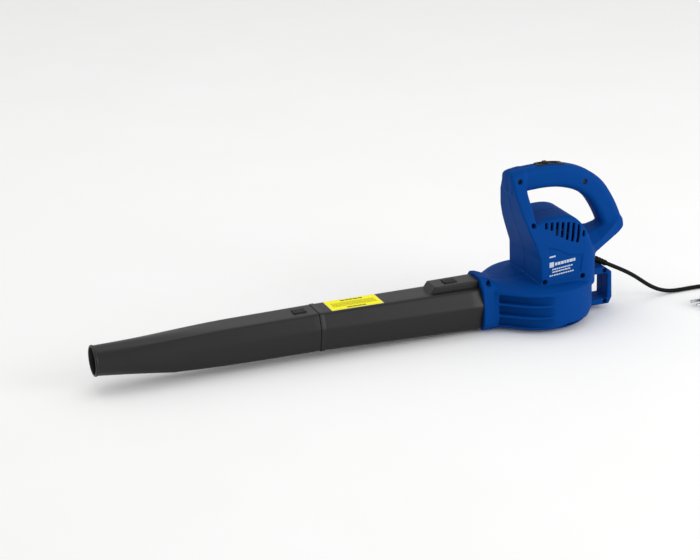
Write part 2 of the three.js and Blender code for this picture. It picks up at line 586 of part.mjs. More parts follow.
// Field: a laminated ring with two poles, and a coil round each pole.
const FIELD_RADIUS = 37;
const YOKE_RADIUS = 31;
const POLE_RADIUS = CORE_RADIUS + 0.8;
const yoke = turned([[YOKE_RADIUS, CORE_BOTTOM], [FIELD_RADIUS, CORE_BOTTOM], [FIELD_RADIUS, CORE_TOP],
  [YOKE_RADIUS, CORE_TOP]], 40);
const poleBar = block(-YOKE_RADIUS - 1, YOKE_RADIUS + 1, -11, 11, CORE_BOTTOM, CORE_TOP)
  .subtract(rod("z", POLE_RADIUS, 90, 150, 0, 0, 36));
place(motor, "stator_core", yoke.add(poleBar), DARK_STEEL);
[["left", -1], ["right", 1]].forEach(([name, side]) => {
  const [x0, x1] = [side * 10, side * (YOKE_RADIUS - 1)].sort((a, b) => a - b);
  const ring = block(x0, x1, -20, 20, CORE_BOTTOM - 6, CORE_TOP + 6)
    .subtract(block(-60, 60, -11 - GAP, 11 + GAP, CORE_BOTTOM - GAP, CORE_TOP + GAP))
    .intersect(rod("z", YOKE_RADIUS - GAP, 90, 150, 0, 0, 36))
    .subtract(rod("z", POLE_RADIUS + 0.4, 90, 150, 0, 0, 36));
  place(motor, `field_coil_${name}`, ring, COPPER);
});

// Bridge over the motor that carries the upper bearing and the brushes.
const bridge = block(-9, 9, -38, 38, 159, 163).add(rod("z", 14.5, 159, 168.5, 0, 0, 28))
  .add(block(-6, 6, 32.5, 38, CORE_TOP + GAP, 160)).add(block(-6, 6, -38, -32.5, CORE_TOP + GAP, 160))
  .subtract(rod("z", BEARING_RADIUS + GAP, 160.2, 180, 0, 0, 28)).subtract(rod("z", BORE + 2, 150, 180));
place(motor, "bearing_bridge", bridge, CHARCOAL);
const BRUSH_Z = 151;
[["left", -1], ["right", 1]].forEach(([name, side]) => {
  const span = (a, b) => [side * a, side * b].sort((p, q) => p - q);
  const [h0, h1] = span(15, 32.2);
  const [b0, b1] = span(10, 40);
  const sleeve = block(-5.5, 5.5, h0, h1, BRUSH_Z - 5.5, BRUSH_Z + 5.5);
  const tunnel = block(-3.8, 3.8, b0, b1, BRUSH_Z - 3.8, BRUSH_Z + 3.8);
  place(motor, `brush_holder_${name}`, sleeve.subtract(tunnel), PALE);
  const [c0, c1] = span(13.4, 30);
  place(motor, `carbon_brush_${name}`, block(-3.5, 3.5, c0, c1, BRUSH_Z - 3.5, BRUSH_Z + 3.5), CARBON);
});

// ---------------------------------------------------------------- switch
const aboveGrip = (grow) => gripSweep(GRIP_WIDTH + 2 * grow, GRIP_HEIGHT + 2 * grow);
const PLATE_HALF_WIDTH = 9;
const switchPlate = aboveGrip(1.2).subtract(aboveGrip(GAP))
  .intersect(block(-3, 46, -PLATE_HALF_WIDTH, PLATE_HALF_WIDTH, 252, 275)).subtract(switchWindow);
place(body, "switch_plate", switchPlate, BLACK);
const SLIDER_REST = 14;          // the slider stands forward, at off
const slider = block(SLIDER_REST - 11, SLIDER_REST + 11, -4.9, 4.9, 259, 266.8)
  .add(block(SLIDER_REST - 11, SLIDER_REST + 11, -7.4, 7.4, 257.2, 259.2))
  .add(prism("y", new THREE.Shape(roundCorners(flat([[SLIDER_REST - 5, 266], [SLIDER_REST + 5, 266],
    [SLIDER_REST + 3.5, 270.6], [SLIDER_REST - 3.5, 270.6]]), [0.1, 0.1, 2, 2], 3)), -4.9, 4.9));
place(body, "switch_slider", slider, BLACK);
place(body, "switch_body", block(-2, 40, -9, 9, 237, 256.8), CHARCOAL);
const CAPACITOR = { x: 65, y: 25, radius: 7.5, bottom: 102, top: 130 };
place(body, "capacitor", rod("z", CAPACITOR.radius, CAPACITOR.bottom, CAPACITOR.top, CAPACITOR.x, CAPACITOR.y), PALE);

// ---------------------------------------------------------------- blower tubes
const BUTTON_CLEARANCE = 0.4;
const REAR_BUTTON_X = -160;
const NOZZLE_BUTTON_X = -423;
const BUTTON_LENGTH = 22;

// A push button with toes fore and aft that keep it under the wall that it comes up through.
function latchButton(x, bottom, toeTop, top) {
  const half = BUTTON_LENGTH / 2;
  return block(x - half, x + half, -BUTTON_HALF, BUTTON_HALF, bottom, top)
    .add(block(x - half - 5, x + half + 5, -BUTTON_HALF, BUTTON_HALF, toeTop - 3, toeTop));
}
const BUTTON_REACH = BUTTON_LENGTH / 2 + BUTTON_CLEARANCE;
const buttonWindow = (x, z0, z1) => block(x - BUTTON_REACH, x + BUTTON_REACH, -BUTTON_HALF - BUTTON_CLEARANCE,
  BUTTON_HALF + BUTTON_CLEARANCE, z0, z1);

const REAR_END = COLLAR_FRONT - GAP;
const latchBox = prism("y", new THREE.Shape(flat([[-202, 74], [-192, 87.5], [REAR_END, 88], [REAR_END, 72],
  [-202, 72]])), -18.6, 18.6);
const latchBoxHollow = block(-186, -126, -15.5, 15.5, 78.6, 85.2);
const lipFront = TUBE_JOINT + 8;
const rearSkin = joined([tubeSkin(TUBE_JOINT, REAR_END, 1), tubeSkin(TUBE_JOINT, lipFront, 1, -1.4), latchBox]);
const rearBore = tubeSkin(TUBE_JOINT, REAR_END, 1, TUBE_WALL)
  .add(tubeSkin(TUBE_JOINT - 1, TUBE_JOINT + 1, 1, TUBE_WALL))
  .add(tubeSkin(REAR_END - 1, REAR_END + OPEN_END, 1, TUBE_WALL));
const frontSpigot = tubeSkin(TUBE_JOINT - SPIGOT_LENGTH, TUBE_JOINT + 6, 1, SPIGOT_INSET)
  .subtract(tubeSkin(TUBE_JOINT - SPIGOT_LENGTH - OPEN_END, TUBE_JOINT + 12, 1, SPIGOT_INSET + 2));
const spigotRoot = tubeSkin(TUBE_JOINT, TUBE_JOINT + 6, 1, 1).subtract(
  tubeSkin(TUBE_JOINT - 1, TUBE_JOINT + 7, 1, SPIGOT_INSET + 2));
const frontSlot = block(TUBE_JOINT - SPIGOT_LENGTH - OPEN_END, TUBE_JOINT - 4, -BUTTON_HALF - 1,
  BUTTON_HALF + 1, 60, 90);
const rearTube = cut(rearSkin.subtract(rearBore).add(spigotRoot).add(frontSpigot),
  [latchBoxHollow, buttonWindow(REAR_BUTTON_X, 60, 95), block(-182, -138, -BUTTON_HALF - BUTTON_CLEARANCE,
    BUTTON_HALF + BUTTON_CLEARANCE, 60, 80), frontSlot]);
place(body, "rear_tube", rearTube, CHARCOAL);

const nozzleRear = TUBE_JOINT - GAP;
const mouthBead = tubeSkin(NOZZLE_FRONT, NOZZLE_FRONT + 4, 1, -1.2);
const NOZZLE_STEPS = 9;
const nozzleTube = cut(tubeSkin(NOZZLE_FRONT, nozzleRear, NOZZLE_STEPS).add(mouthBead),
  [tubeSkin(NOZZLE_FRONT, nozzleRear, NOZZLE_STEPS, TUBE_WALL),
    tubeSkin(NOZZLE_FRONT - OPEN_END, NOZZLE_FRONT + 1, 1, TUBE_WALL),
    tubeSkin(nozzleRear - 1, nozzleRear + OPEN_END, 1, TUBE_WALL), buttonWindow(NOZZLE_BUTTON_X, 60, 95)]);
place(body, "nozzle_tube", nozzleTube, CHARCOAL);
place(body, "latch_button_rear", latchButton(REAR_BUTTON_X, 64, 84.8, 89.4), BLACK);
place(body, "latch_button_nozzle", latchButton(NOZZLE_BUTTON_X, 62, 73.6, 79.2), BLACK);

const LABEL_FROM = -374;
const LABEL_TO = -284;
const LABEL_HALF = 22;
const labelRing = (x) => {
  const z = between(TUBE_TOP, x) + GAP;
  return flat([[-LABEL_HALF, z], [LABEL_HALF, z], [LABEL_HALF, z + 0.4], [-LABEL_HALF, z + 0.4]])
    .map((p) => new THREE.Vector3(x, p.x, p.y));
};
place(body, "tube_label", loft([labelRing(LABEL_FROM), labelRing(LABEL_TO)]), YELLOW);

// ---------------------------------------------------------------- lead
const collarInside = rod("x", 9, 78, 82.5, 0, 93.5, 20);
place(body, "strain_relief", taper(RELIEF).add(collarInside), RUBBER);
place(body, "lead_tail", rod("x", 3.4, 62, 76.7, 0, 93.5, 12), RUBBER);
const clampBar = block(64, 71, -15, 15, 97.3, 101).subtract(rod("z", 2.1, 92, 107, 67.5, 11, 12))
  .subtract(rod("z", 2.1, 92, 107, 67.5, -11, 12));
place(body, "cord_clamp", clampBar, CHARCOAL);
[["left", -11], ["right", 11]].forEach(([name, y]) => {
  const clampScrew = rod("z", 1.7, 91, 101.5, 67.5, y, 12)
    .add(rod("z", 3.2, 101.3, 103.6, 67.5, y, 16));
  place(body, `clamp_screw_${name}`, clampScrew, STEEL);
});

// The lead leaves the strain relief, falls to the ground, runs back and turns round to its plug.
const CORD_LIE = 3.7;
const PLUG_Z = 8.4;
const LEAD = [[130.4, 0, 74.2], [141, 0, 68.6], [152, 0, 62.7], [163, 0, 56.6], [174, 0, 50], [186, 0, 42],
  [198, 0, 33], [210, 0, 24], [223, 0, 15.8], [237, 0, 9.3], [252, 0, 5.2], [268, 0, CORD_LIE],
  [288, 0, CORD_LIE], [310, -0.5, CORD_LIE], [330, -3, CORD_LIE], [349, -10, CORD_LIE], [362, -23, CORD_LIE],
  [368, -40, CORD_LIE], [364, -57, CORD_LIE + 0.3], [352, -70, CORD_LIE + 1.8], [336, -77, PLUG_Z - 0.9],
  [324, -79, PLUG_Z]];
const leadCurve = new THREE.CatmullRomCurve3(LEAD.map((p) => new THREE.Vector3(...p)), false, "centripetal");
const cordSection = new THREE.Shape();
cordSection.absarc(0, 0, CORD_DIAMETER / 2, 0, 2 * Math.PI);
const leadBody = new THREE.ExtrudeGeometry(cordSection, { steps: 30, extrudePath: leadCurve, curveSegments: 5 });
place(body, "mains_cord", solid(leadBody), RUBBER);

// Moulded plug, lying flat, with its round pins towards the nozzle end.
const PLUG = { x: 323.2, y: -79.2 };
const plugRing = (along, halfWidth, halfHeight) => roundCorners(flat([[-halfWidth, -halfHeight],
  [halfWidth, -halfHeight], [halfWidth, halfHeight], [-halfWidth, halfHeight]]), Math.min(halfHeight, 5) * 0.9, 3)
  .map((p) => new THREE.Vector3(PLUG.x - along, PLUG.y + p.x, PLUG_Z + p.y));
const plug = loft([plugRing(0, 4.4, 4.4), plugRing(14, 5.4, 5.4), plugRing(16, 9, 7), plugRing(26, 14, 8),
  plugRing(44, 14.5, 8), plugRing(48, 12.5, 7.5)]);
place(body, "plug_body", plug, RUBBER);
[["left", -9.5], ["right", 9.5]].forEach(([name, y]) => {
  place(body, `plug_pin_${name}`, rod("x", 2.4, PLUG.x - 48.3 - 19, PLUG.x - 48.3, PLUG.y + y, PLUG_Z, 12), STEEL);
});

export default blower;
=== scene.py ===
"""Corded electric leaf blower: the looks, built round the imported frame. Metres, +Z up, nozzle towards -X."""
import math

import bpy
import numpy as np
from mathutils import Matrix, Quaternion, Vector


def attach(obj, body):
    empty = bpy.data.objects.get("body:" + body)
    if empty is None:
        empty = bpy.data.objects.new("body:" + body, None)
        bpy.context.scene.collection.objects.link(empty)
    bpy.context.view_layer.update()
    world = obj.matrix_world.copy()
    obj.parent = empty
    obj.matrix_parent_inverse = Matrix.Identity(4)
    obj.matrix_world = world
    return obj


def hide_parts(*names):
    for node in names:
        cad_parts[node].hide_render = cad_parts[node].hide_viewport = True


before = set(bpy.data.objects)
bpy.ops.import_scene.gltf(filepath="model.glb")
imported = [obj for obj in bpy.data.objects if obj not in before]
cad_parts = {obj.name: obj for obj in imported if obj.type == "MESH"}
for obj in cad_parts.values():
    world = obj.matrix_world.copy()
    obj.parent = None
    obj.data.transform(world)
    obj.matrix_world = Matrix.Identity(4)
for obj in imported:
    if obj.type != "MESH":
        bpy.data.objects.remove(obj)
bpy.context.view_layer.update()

MM = 0.001
AXIS_X = 20.0                    # the body is drawn, in mm, about a centre this far in front of the fan axis


def metres(points):
    """Body millimetres to frame metres: moved back by AXIS_X and scaled."""
    return (np.asarray(points, float) - (AXIS_X, 0, 0)) * MM


# ---------------------------------------------------------------- camera
VIEW_AZIMUTH, VIEW_ELEVATION = math.radians(-26), math.radians(20)
CAMERA_DISTANCE = 3.5
VIEW_WIDTH = 1176                # how many millimetres the view takes in at the body
AIM_BODY = (0, 0, 72)            # this point of the body ...
AIM_RIGHT, AIM_UP = 313.488, 8.064           # ... stands this far right of and above the middle of the view
ROLL = math.radians(-1.7)


def make_camera():
    """Camera on the view direction from the body, turned so that the body stands right of the middle."""
    sin_a, cos_a = math.sin(VIEW_AZIMUTH), math.cos(VIEW_AZIMUTH)
    sin_e, cos_e = math.sin(VIEW_ELEVATION), math.cos(VIEW_ELEVATION)
    back = Vector((sin_a * cos_e, -cos_a * cos_e, sin_e))
    right = Vector((cos_a, sin_a, 0))
    up = Vector((-sin_a * sin_e, cos_a * sin_e, cos_e))
    body = Vector(metres(AIM_BODY))
    target = body - right * AIM_RIGHT * MM - up * AIM_UP * MM
    data = bpy.data.cameras.new("camera")
    data.sensor_width = 36
    data.lens = data.sensor_width * CAMERA_DISTANCE / (VIEW_WIDTH * MM)
    camera = bpy.data.objects.new("camera", data)
    camera.location = body + back * CAMERA_DISTANCE
    facing = (target - camera.location).to_track_quat("-Z", "Y")
    camera.rotation_euler = (facing @ Quaternion((0, 0, 1), ROLL)).to_euler()
    bpy.context.scene.collection.objects.link(camera)
    bpy.context.scene.camera = camera


make_camera()


# ---------------------------------------------------------------- surfaces
def mesh_object(name, points, faces, body, smooth_angle=None):
    """A mesh from (n, 3) points in metres and (m, k) corner numbers, riding on a body if one is named."""
    mesh = bpy.data.meshes.new(name)
    faces = np.asarray(faces, np.int32)
    per = faces.shape[1]
    mesh.vertices.add(len(points))
    mesh.vertices.foreach_set("co", np.asarray(points, np.float32).ravel())
    mesh.loops.add(faces.size)
    mesh.loops.foreach_set("vertex_index", faces.ravel())
    mesh.polygons.add(len(faces))
    mesh.polygons.foreach_set("loop_start", np.arange(0, faces.size, per, dtype=np.int32))
    mesh.update(calc_edges=True)
    mesh.shade_smooth()
    if smooth_angle:
        mesh.set_sharp_from_angle(angle=math.radians(smooth_angle))
    piece = bpy.data.objects.new(name, mesh)
    bpy.context.scene.collection.objects.link(piece)
    if body:
        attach(piece, body)
    return piece


def grid_faces(rows, columns, wrap_rows, wrap_columns):
    """Corner numbers of the quads of a rows x columns grid of points, closed round on itself where asked."""
    r = np.arange(rows if wrap_rows else rows - 1)
    c = np.arange(columns if wrap_columns else columns - 1)
    r, c = (g.ravel() for g in np.meshgrid(r, c, indexing="ij"))
    r1, c1 = (r + 1) % rows, (c + 1) % columns
    return np.stack([r * columns + c, r * columns + c1, r1 * columns + c1, r1 * columns + c], 1)


def outward(points, faces):
    """The same faces, turned so that the volume that they close is positive."""
    a, b, c = (points[faces[:, k]] for k in (0, 1, 2))
    volume = np.einsum("ij,ij->", a, np.cross(b, c))
    if faces.shape[1] == 4:
        d = points[faces[:, 3]]
        volume += np.einsum("ij,ij->", a, np.cross(c, d))
    return faces if volume > 0 else faces[:, ::-1]


def ring_skin(name, rings, body, closed_on_itself=False, smooth_angle=35):
    """A skin through rings, an (m, n, 3) array in metres: a closed loop of rings, or a run with a fan on each
    end."""
    rings = np.asarray(rings, float)
    count, around = rings.shape[:2]
    points = rings.reshape(-1, 3)
    if closed_on_itself:
        faces = grid_faces(count, around, True, True)
        return mesh_object(name, points, outward(points, faces), body, smooth_angle)
    quads = grid_faces(count, around, False, True)
    points = np.vstack([points, rings[0].mean(0), rings[-1].mean(0)])
    i = np.arange(around)
    j = (i + 1) % around
    last = (count - 1) * around
    first_fan = np.stack([np.full(around, count * around), j, i], 1)
    last_fan = np.stack([np.full(around, count * around + 1), last + i, last + j], 1)
    sides = np.vstack([quads[:, [0, 1, 2]], quads[:, [0, 2, 3]]])
    faces = np.vstack([sides, first_fan, last_fan])
    return mesh_object(name, points, outward(points, faces), body, smooth_angle)


def along(line, radii, sides=16):
    """Rings of a round bar: at each point of a line, a circle square to it, kept level without twisting."""
    line = np.asarray(line, float)
    radii = np.broadcast_to(radii, len(line))
    tangent = np.gradient(line, axis=0)
    tangent /= np.linalg.norm(tangent, axis=1, keepdims=True)
    side = np.cross(tangent, (0, 0, 1))
    side /= np.linalg.norm(side, axis=1, keepdims=True)
    over = np.cross(side, tangent)
    angle = np.linspace(0, 2 * np.pi, sides, endpoint=False)
    spread = side[:, None] * np.cos(angle)[None, :, None] + over[:, None] * np.sin(angle)[None, :, None]
    return line[:, None] + spread * radii[:, None, None]


def curve_through(points, per=8):
    """A smooth line through points: a centripetal Catmull-Rom curve, built from straight mixes."""
    p = np.asarray(points, float)
    p = np.vstack([2 * p[0] - p[1], p, 2 * p[-1] - p[-2]])
    knot = np.concatenate([[0], np.cumsum(np.sqrt(np.linalg.norm(np.diff(p, axis=0), axis=1)))])
    spans = []
    for k in range(1, len(p) - 2):
        t = np.linspace(knot[k], knot[k + 1], per, endpoint=False)[:, None]

        def mix(a, b, i, j):
            return a * (knot[j] - t) / (knot[j] - knot[i]) + b * (t - knot[i]) / (knot[j] - knot[i])

        a1, a2, a3 = (mix(p[i], p[i + 1], i, i + 1) for i in (k - 1, k, k + 1))
        b1, b2 = mix(a1, a2, k - 1, k + 1), mix(a2, a3, k, k + 2)
        spans.append(mix(b1, b2, k, k + 1))
    return np.vstack([*spans, p[-2:-1]])


# ---------------------------------------------------------------- lead
CORD_RADIUS = 3.5
CORD_LIE = 3.7                   # height of its centre where it lies on the floor
PLUG_X, PLUG_Y, PLUG_Z = 323.2, -79.2, 8.4
LEAD = [
    (130.4, 0, 74.2), (141, 0, 68.6), (152, 0, 62.7), (163, 0, 56.6), (174, 0, 50), (186, 0, 42),
    (198, 0, 33), (210, 0, 24), (223, 0, 15.8), (237, 0, 9.3), (252, 0, 5.2), (268, 0, CORD_LIE),
    (288, 0, CORD_LIE), (310, -0.5, CORD_LIE), (330, -3, CORD_LIE), (349, -10, CORD_LIE),
    (362, -23, CORD_LIE), (368, -40, CORD_LIE), (364, -57, CORD_LIE + 0.3), (352, -70, CORD_LIE + 1.8),
    (336, -77, PLUG_Z - 0.9),
    (324, -79, PLUG_Z),
]
lead_line = curve_through(LEAD)


def rounded_box_ring(x, centre_y, centre_z, half_width, half_height, corner, per=6):
    """A ring across X: a rectangle whose corners are quarter circles of the given radius."""
    quarter = np.linspace(0, np.pi / 2, per)
    y, z = [], []
    for k, (sy, sz) in enumerate([(1, 1), (-1, 1), (-1, -1), (1, -1)]):
        angle = quarter + k * np.pi / 2
        y.append(sy * (half_width - corner) + corner * np.cos(angle))
        z.append(sz * (half_height - corner) + corner * np.sin(angle))
    y, z = np.concatenate(y), np.concatenate(z)
    return np.stack([np.full_like(y, x), centre_y + y, centre_z + z], 1)


def make_lead():
    """The lead is a round bar along its line; the plug is a run of rounded boxes that swells to its face.
    A plug station is a distance from the cord, half a width, half a height and a corner radius."""
    line = metres(lead_line)
    cord = ring_skin("lead", along(line, CORD_RADIUS * MM, 20), "housing")
    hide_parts("mains_cord")
    stations = [
        (0, 4.3, 4.3, 4.2), (3, 4.6, 4.6, 4.4), (4, 4.0, 4.0, 3.9), (6, 4.0, 4.0, 3.9), (7, 4.9, 4.9, 4.6),
        (9, 4.9, 4.9, 4.6), (10, 4.3, 4.3, 4.1), (12, 4.3, 4.3, 4.1), (13, 5.4, 5.4, 4.9),
        (15.5, 5.6, 5.6, 4.9), (18, 9.5, 6.6, 4.5), (22, 12.6, 7.6, 4.5), (27, 14.2, 8.1, 4.2),
        (32, 13.4, 7.7, 4.2), (38, 13.4, 7.7, 4.0), (43, 14.4, 8.1, 3.6), (46.5, 14.2, 8.0, 3.0),
        (47.6, 13.4, 7.2, 2.6),
    ]
    rings = [metres(rounded_box_ring(PLUG_X - s, PLUG_Y, PLUG_Z, w, h, c)) for s, w, h, c in stations]
    plug = ring_skin("plug", rings, "housing", smooth_angle=50)
    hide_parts("plug_body")
    return cord, plug


lead, plug = make_lead()


# ---------------------------------------------------------------- moulded shells as distance fields
def soft_max(a, b, k):
    """The larger of a and b, blended over a width k: the rounded edge where one solid is cut to another."""
    h = np.clip(0.5 + 0.5 * (a - b) / k, 0, 1)
    return b + (a - b) * h + k * h * (1 - h)


def soft_min(a, b, k):
    """The smaller of a and b, blended over a width k: the fillet where two solids are joined."""
    return -soft_max(-a, -b, k)


def outline_distance(a, b, corners):
    """Signed distance to a closed outline in two coordinates, negative inside: the nearest of its edges, and
    the sign from how many edges a ray crosses."""
    corners = np.asarray(corners, float)
    a, b = np.broadcast_arrays(a, b)
    near = np.full(a.shape, 1e9)
    inside = np.zeros(a.shape, bool)
    for (a0, b0), (a1, b1) in zip(corners, np.roll(corners, -1, axis=0)):
        ea, eb = a1 - a0, b1 - b0
        t = np.clip(((a - a0) * ea + (b - b0) * eb) / (ea * ea + eb * eb), 0, 1)
        near = np.minimum(near, (a - a0 - t * ea) ** 2 + (b - b0 - t * eb) ** 2)
        if eb != 0:
            inside ^= ((b0 > b) != (b1 > b)) & (a < a0 + ea * (b - b0) / eb)
    near = np.sqrt(near)
    return np.where(inside, -near, near)


def line_distance(a, b, points):
    """Distance to an open line through points in two coordinates."""
    points = np.asarray(points, float)
    near = np.full(np.broadcast(a, b).shape, 1e9)
    for (a0, b0), (a1, b1) in zip(points[:-1], points[1:]):
        ea, eb = a1 - a0, b1 - b0
        t = np.clip(((a - a0) * ea + (b - b0) * eb) / (ea * ea + eb * eb), 0, 1)
        near = np.minimum(near, (a - a0 - t * ea) ** 2 + (b - b0 - t * eb) ** 2)
    return np.sqrt(near)


def rounded_corner(a, b, radius):
    """Two flat faces, a and b from a point, that meet in a quarter-round edge of a radius."""
    a, b = a + radius, b + radius
    return np.hypot(np.maximum(a, 0), np.maximum(b, 0)) + np.minimum(np.maximum(a, b), 0) - radius


def band(value, low, high):
    """How far a value lies outside a range, negative inside it."""
    return np.maximum(low - value, value - high)


def smooth_outline(points, closed_by=(), per=6):
    """An outline that bends smoothly through points and is closed by straight corners."""
    flat = np.column_stack([np.asarray(points, float), np.zeros(len(points))])
    curve = curve_through(flat, per)[:, :2]
    return np.vstack([curve, closed_by]) if len(closed_by) else curve


def six_sided(y, z, corners, soft):
    """A section that is the same on both sides of the centre plane, from (half width, height) corners going
    down: the largest distance beyond any of its straight sides, blended where they meet."""
    a = np.abs(y)
    field = z - corners[0][1]
    for (w0, z0), (w1, z1) in zip(corners[:-1], corners[1:]):
        length = np.hypot(w1 - w0, z1 - z0)
        side = ((a - w0) * (z0 - z1) - (z0 - z) * (w1 - w0)) / length
        field = soft_max(field, side, soft)
    return soft_max(field, corners[-1][1] - z, soft)


SEAM = 0.08                      # half the gap between the two housing halves
WALL = 3.4                       # thickness of the block's wall
TUBE_WALL = 2.1
LABEL_SUNK = 1.6                 # how deep the side panel lies below the block's side
# Of the block and post, by height: how far forward the front stands, and half the width.
FRONT_EDGE = np.array(
    [(60, -21), (121, -22), (152, -32), (171, -39), (195, -46), (225, -52), (262, -54)], float)
HALF_WIDTH = np.array(
    [(60, 63), (121, 62), (152, 59.5), (171, 54), (190, 48), (227, 32), (257, 18), (270, 12)], float)
BLOCK_REAR = 88
BLOCK_SIDE = smooth_outline(
    [(-24, 180.5), (-10, 183.5), (15, 186.5), (37, 185), (50, 179.5), (61, 168), (71, 151), (81.5, 125),
     (88, 104)],
    [(92, 62), (-60, 62), (-60, 255.5), (-54, 256), (-38, 261), (-30, 262.5), (-30, 226), (-28, 212)],
)
CHAMBER_SIDE = smooth_outline(
    [(-16, 168), (0, 178), (15, 182), (36, 180), (48, 174), (58, 163), (67.5, 147), (78, 122), (84, 102)],
    [(84, 70), (-24, 70), (-22, 140)],
)
GRIP_LINE = curve_through(
    [(-44, 0, 243.8), (-15, 0, 246.2), (17, 0, 246.8), (46, 0, 242.8), (76, 0, 232), (100, 0, 214),
     (117, 0, 189), (129.5, 0, 162.5), (136.5, 0, 141)], 5)[:, [0, 2]]
GRIP_HALF = 18                   # half the grip's width
GRIP_DEEP = 19.5                 # half its height
# Brace stations: x, underside, rim, top, half width at the rim and at the top.
BRACE = np.array([
    (60, 96, 122, 140, 52, 40), (80, 110, 126, 143, 46, 24), (100, 117, 131, 146, 37, 17),
    (123, 126, 144, 152, 28, 17), (143, 134, 158, 162, 20, 17), (153.5, 142, 150, 155, 17, 16),
], float)
FAN_RIM = 92                     # radius of the fan housing
CHEEK = np.radians(133)          # the rim is round from here, past the rear, to as far on the other side
ROUND = np.linspace(CHEEK, -CHEEK, 73)
VOLUTE_PLAN = np.vstack([FAN_RIM * np.column_stack([np.cos(ROUND), np.sin(ROUND)]), [(-93, -41), (-93, 41)]])
# How far in from the rim, and at what height, the fan housing's wall runs.
VOLUTE_SIDE = [(-200, 3), (-18, 3), (-10.5, 6), (-4, 12), (0, 22), (0, 66), (0.7, 67), (0.7, 70.6),
               (-1.2, 72.8), (-12, 76.8), (-34, 79.2), (-64, 80), (-200, 80)]
POCKET = smooth_outline([(-89, -31), (-76, -37), (-60, -51), (-42, -67.5), (-24, -81.5), (-9, -92.5)],
                        [(10, -110), (-89, -110)])
POCKET_LEVELS = [(12, 28), (32, 48), (52, 67)]
FAN_CHAMBER = smooth_outline(
    [(-84, -28), (-74, -33), (-57, -46), (-36, -63), (-12, -78.5), (8, -87), (40, -78), (70, -52), (86, -12),
     (85, 22), (66, 58), (30, 83), (-8, 88), (-44, 77), (-74, 53), (-92, 36)], [(-92, -28)])
HOOD = np.array([(-114, 14.5), (-106, 13.5), (-96, 9.5), (-84, 3), (-66, -1)], float)
EAR = [(70, 9), (126, 9), (132, 20), (131, 66), (118, 76), (70, 76)]
EAR_SLOT = [(94, 20), (122.5, 20), (122.5, 64), (94, 64)]
EAR_HALF = 20
# Stations of the strain relief: x, height, radius.
RELIEF = np.array(
    [(77, 93.5, 6.3), (90, 93, 6.3), (97, 90.6, 6.2), (108, 85.8, 5.8), (119, 80.2, 5.3), (130, 74.4, 4.7)])
LABEL = smooth_outline([(-9, 141), (12, 134), (31, 124), (54, 121.5)], [(50, 93), (-9, 87)])
# Lowest and highest point of each cooling slot, from the front; they lean back as they rise.
VENT_ENDS = [(171, 180), (168, 180), (159, 179.5), (155, 178.5), (149.5, 177), (146, 175), (143, 171),
             (151.5, 160.5)]
VENT_FIRST, VENT_PITCH, VENT_WIDTH, VENT_LEAN = -14, 10, 4.5, 0.24
# Place of each screw, the outside of the wall that it enters, and how deep its head is sunk.
SCREWS = {
    "grip_front": (-41, 248, 24, 9), "post": (-30, 179, 52, 16), "grip_rear": (79, 231, 18, 5),
    "block_front": (-15, 83, 63, 12), "block_rear": (54, 84, 63, 12), "collar": (-101, 82.5, 32, 16),
    "loop_upper": (117, 69.8, 20, 8), "loop_lower": (118, 14.5, 20, 8),
}
MOUTH, JOINT, COLLAR = -766, -397, -114      # the nozzle's front end, the tube joint, the housing's collar
TUBE_TOP = np.array([(MOUTH, 75), (JOINT, 77.5), (COLLAR, 76)])
TUBE_BOTTOM = np.array([(MOUTH, 27), (-640, 13.5), (-506, 12.2), (JOINT, 12), (COLLAR, 5)])
TOP_HALF = np.array([(MOUTH, 23), (JOINT, 25), (COLLAR, 27)])
RIDGE_HALF = np.array([(MOUTH, 24), (-640, 28), (JOINT, 34), (COLLAR, 39.5)])
FOOT_HALF = np.array([(MOUTH, 22), (JOINT, 27), (COLLAR, 31)])


def read(stations, at):
    """A value off straight lines between (place, value) stations."""
    return np.interp(at, stations[:, 0], stations[:, 1])


def tube_corners(x, inset):
    """Half widths and heights of the tube's upper edge, side ridge and foot at x, moved in by inset."""
    top, bottom = read(TUBE_TOP, x) - inset, read(TUBE_BOTTOM, x) + inset
    return [(read(TOP_HALF, x) - inset, top), (read(RIDGE_HALF, x) - inset, bottom + 0.62 * (top - bottom)),
            (read(FOOT_HALF, x) - inset, bottom)]


def block_field(x, y, z):
    """Motor block and front post: a leaning box with round rear corners, cut to the side outline."""
    front = (read(FRONT_EDGE, z) - x) * 0.97
    side = (np.abs(y) - read(HALF_WIDTH, z)) * 0.97
    return np.maximum(rounded_corner(front, side, 3), rounded_corner(x - BLOCK_REAR, side, 30))


def crown_softness(x, z):
    """How wide the edge round the top of the motor block is blended: wide on the block, tight on the front
    post and above it, with straight ramps between them."""
    on_block = np.clip((x + 24) / 16, 0, 1)
    return 5 + on_block * np.interp(z, [110, 140, 184, 192], [0, 6, 6, 0])


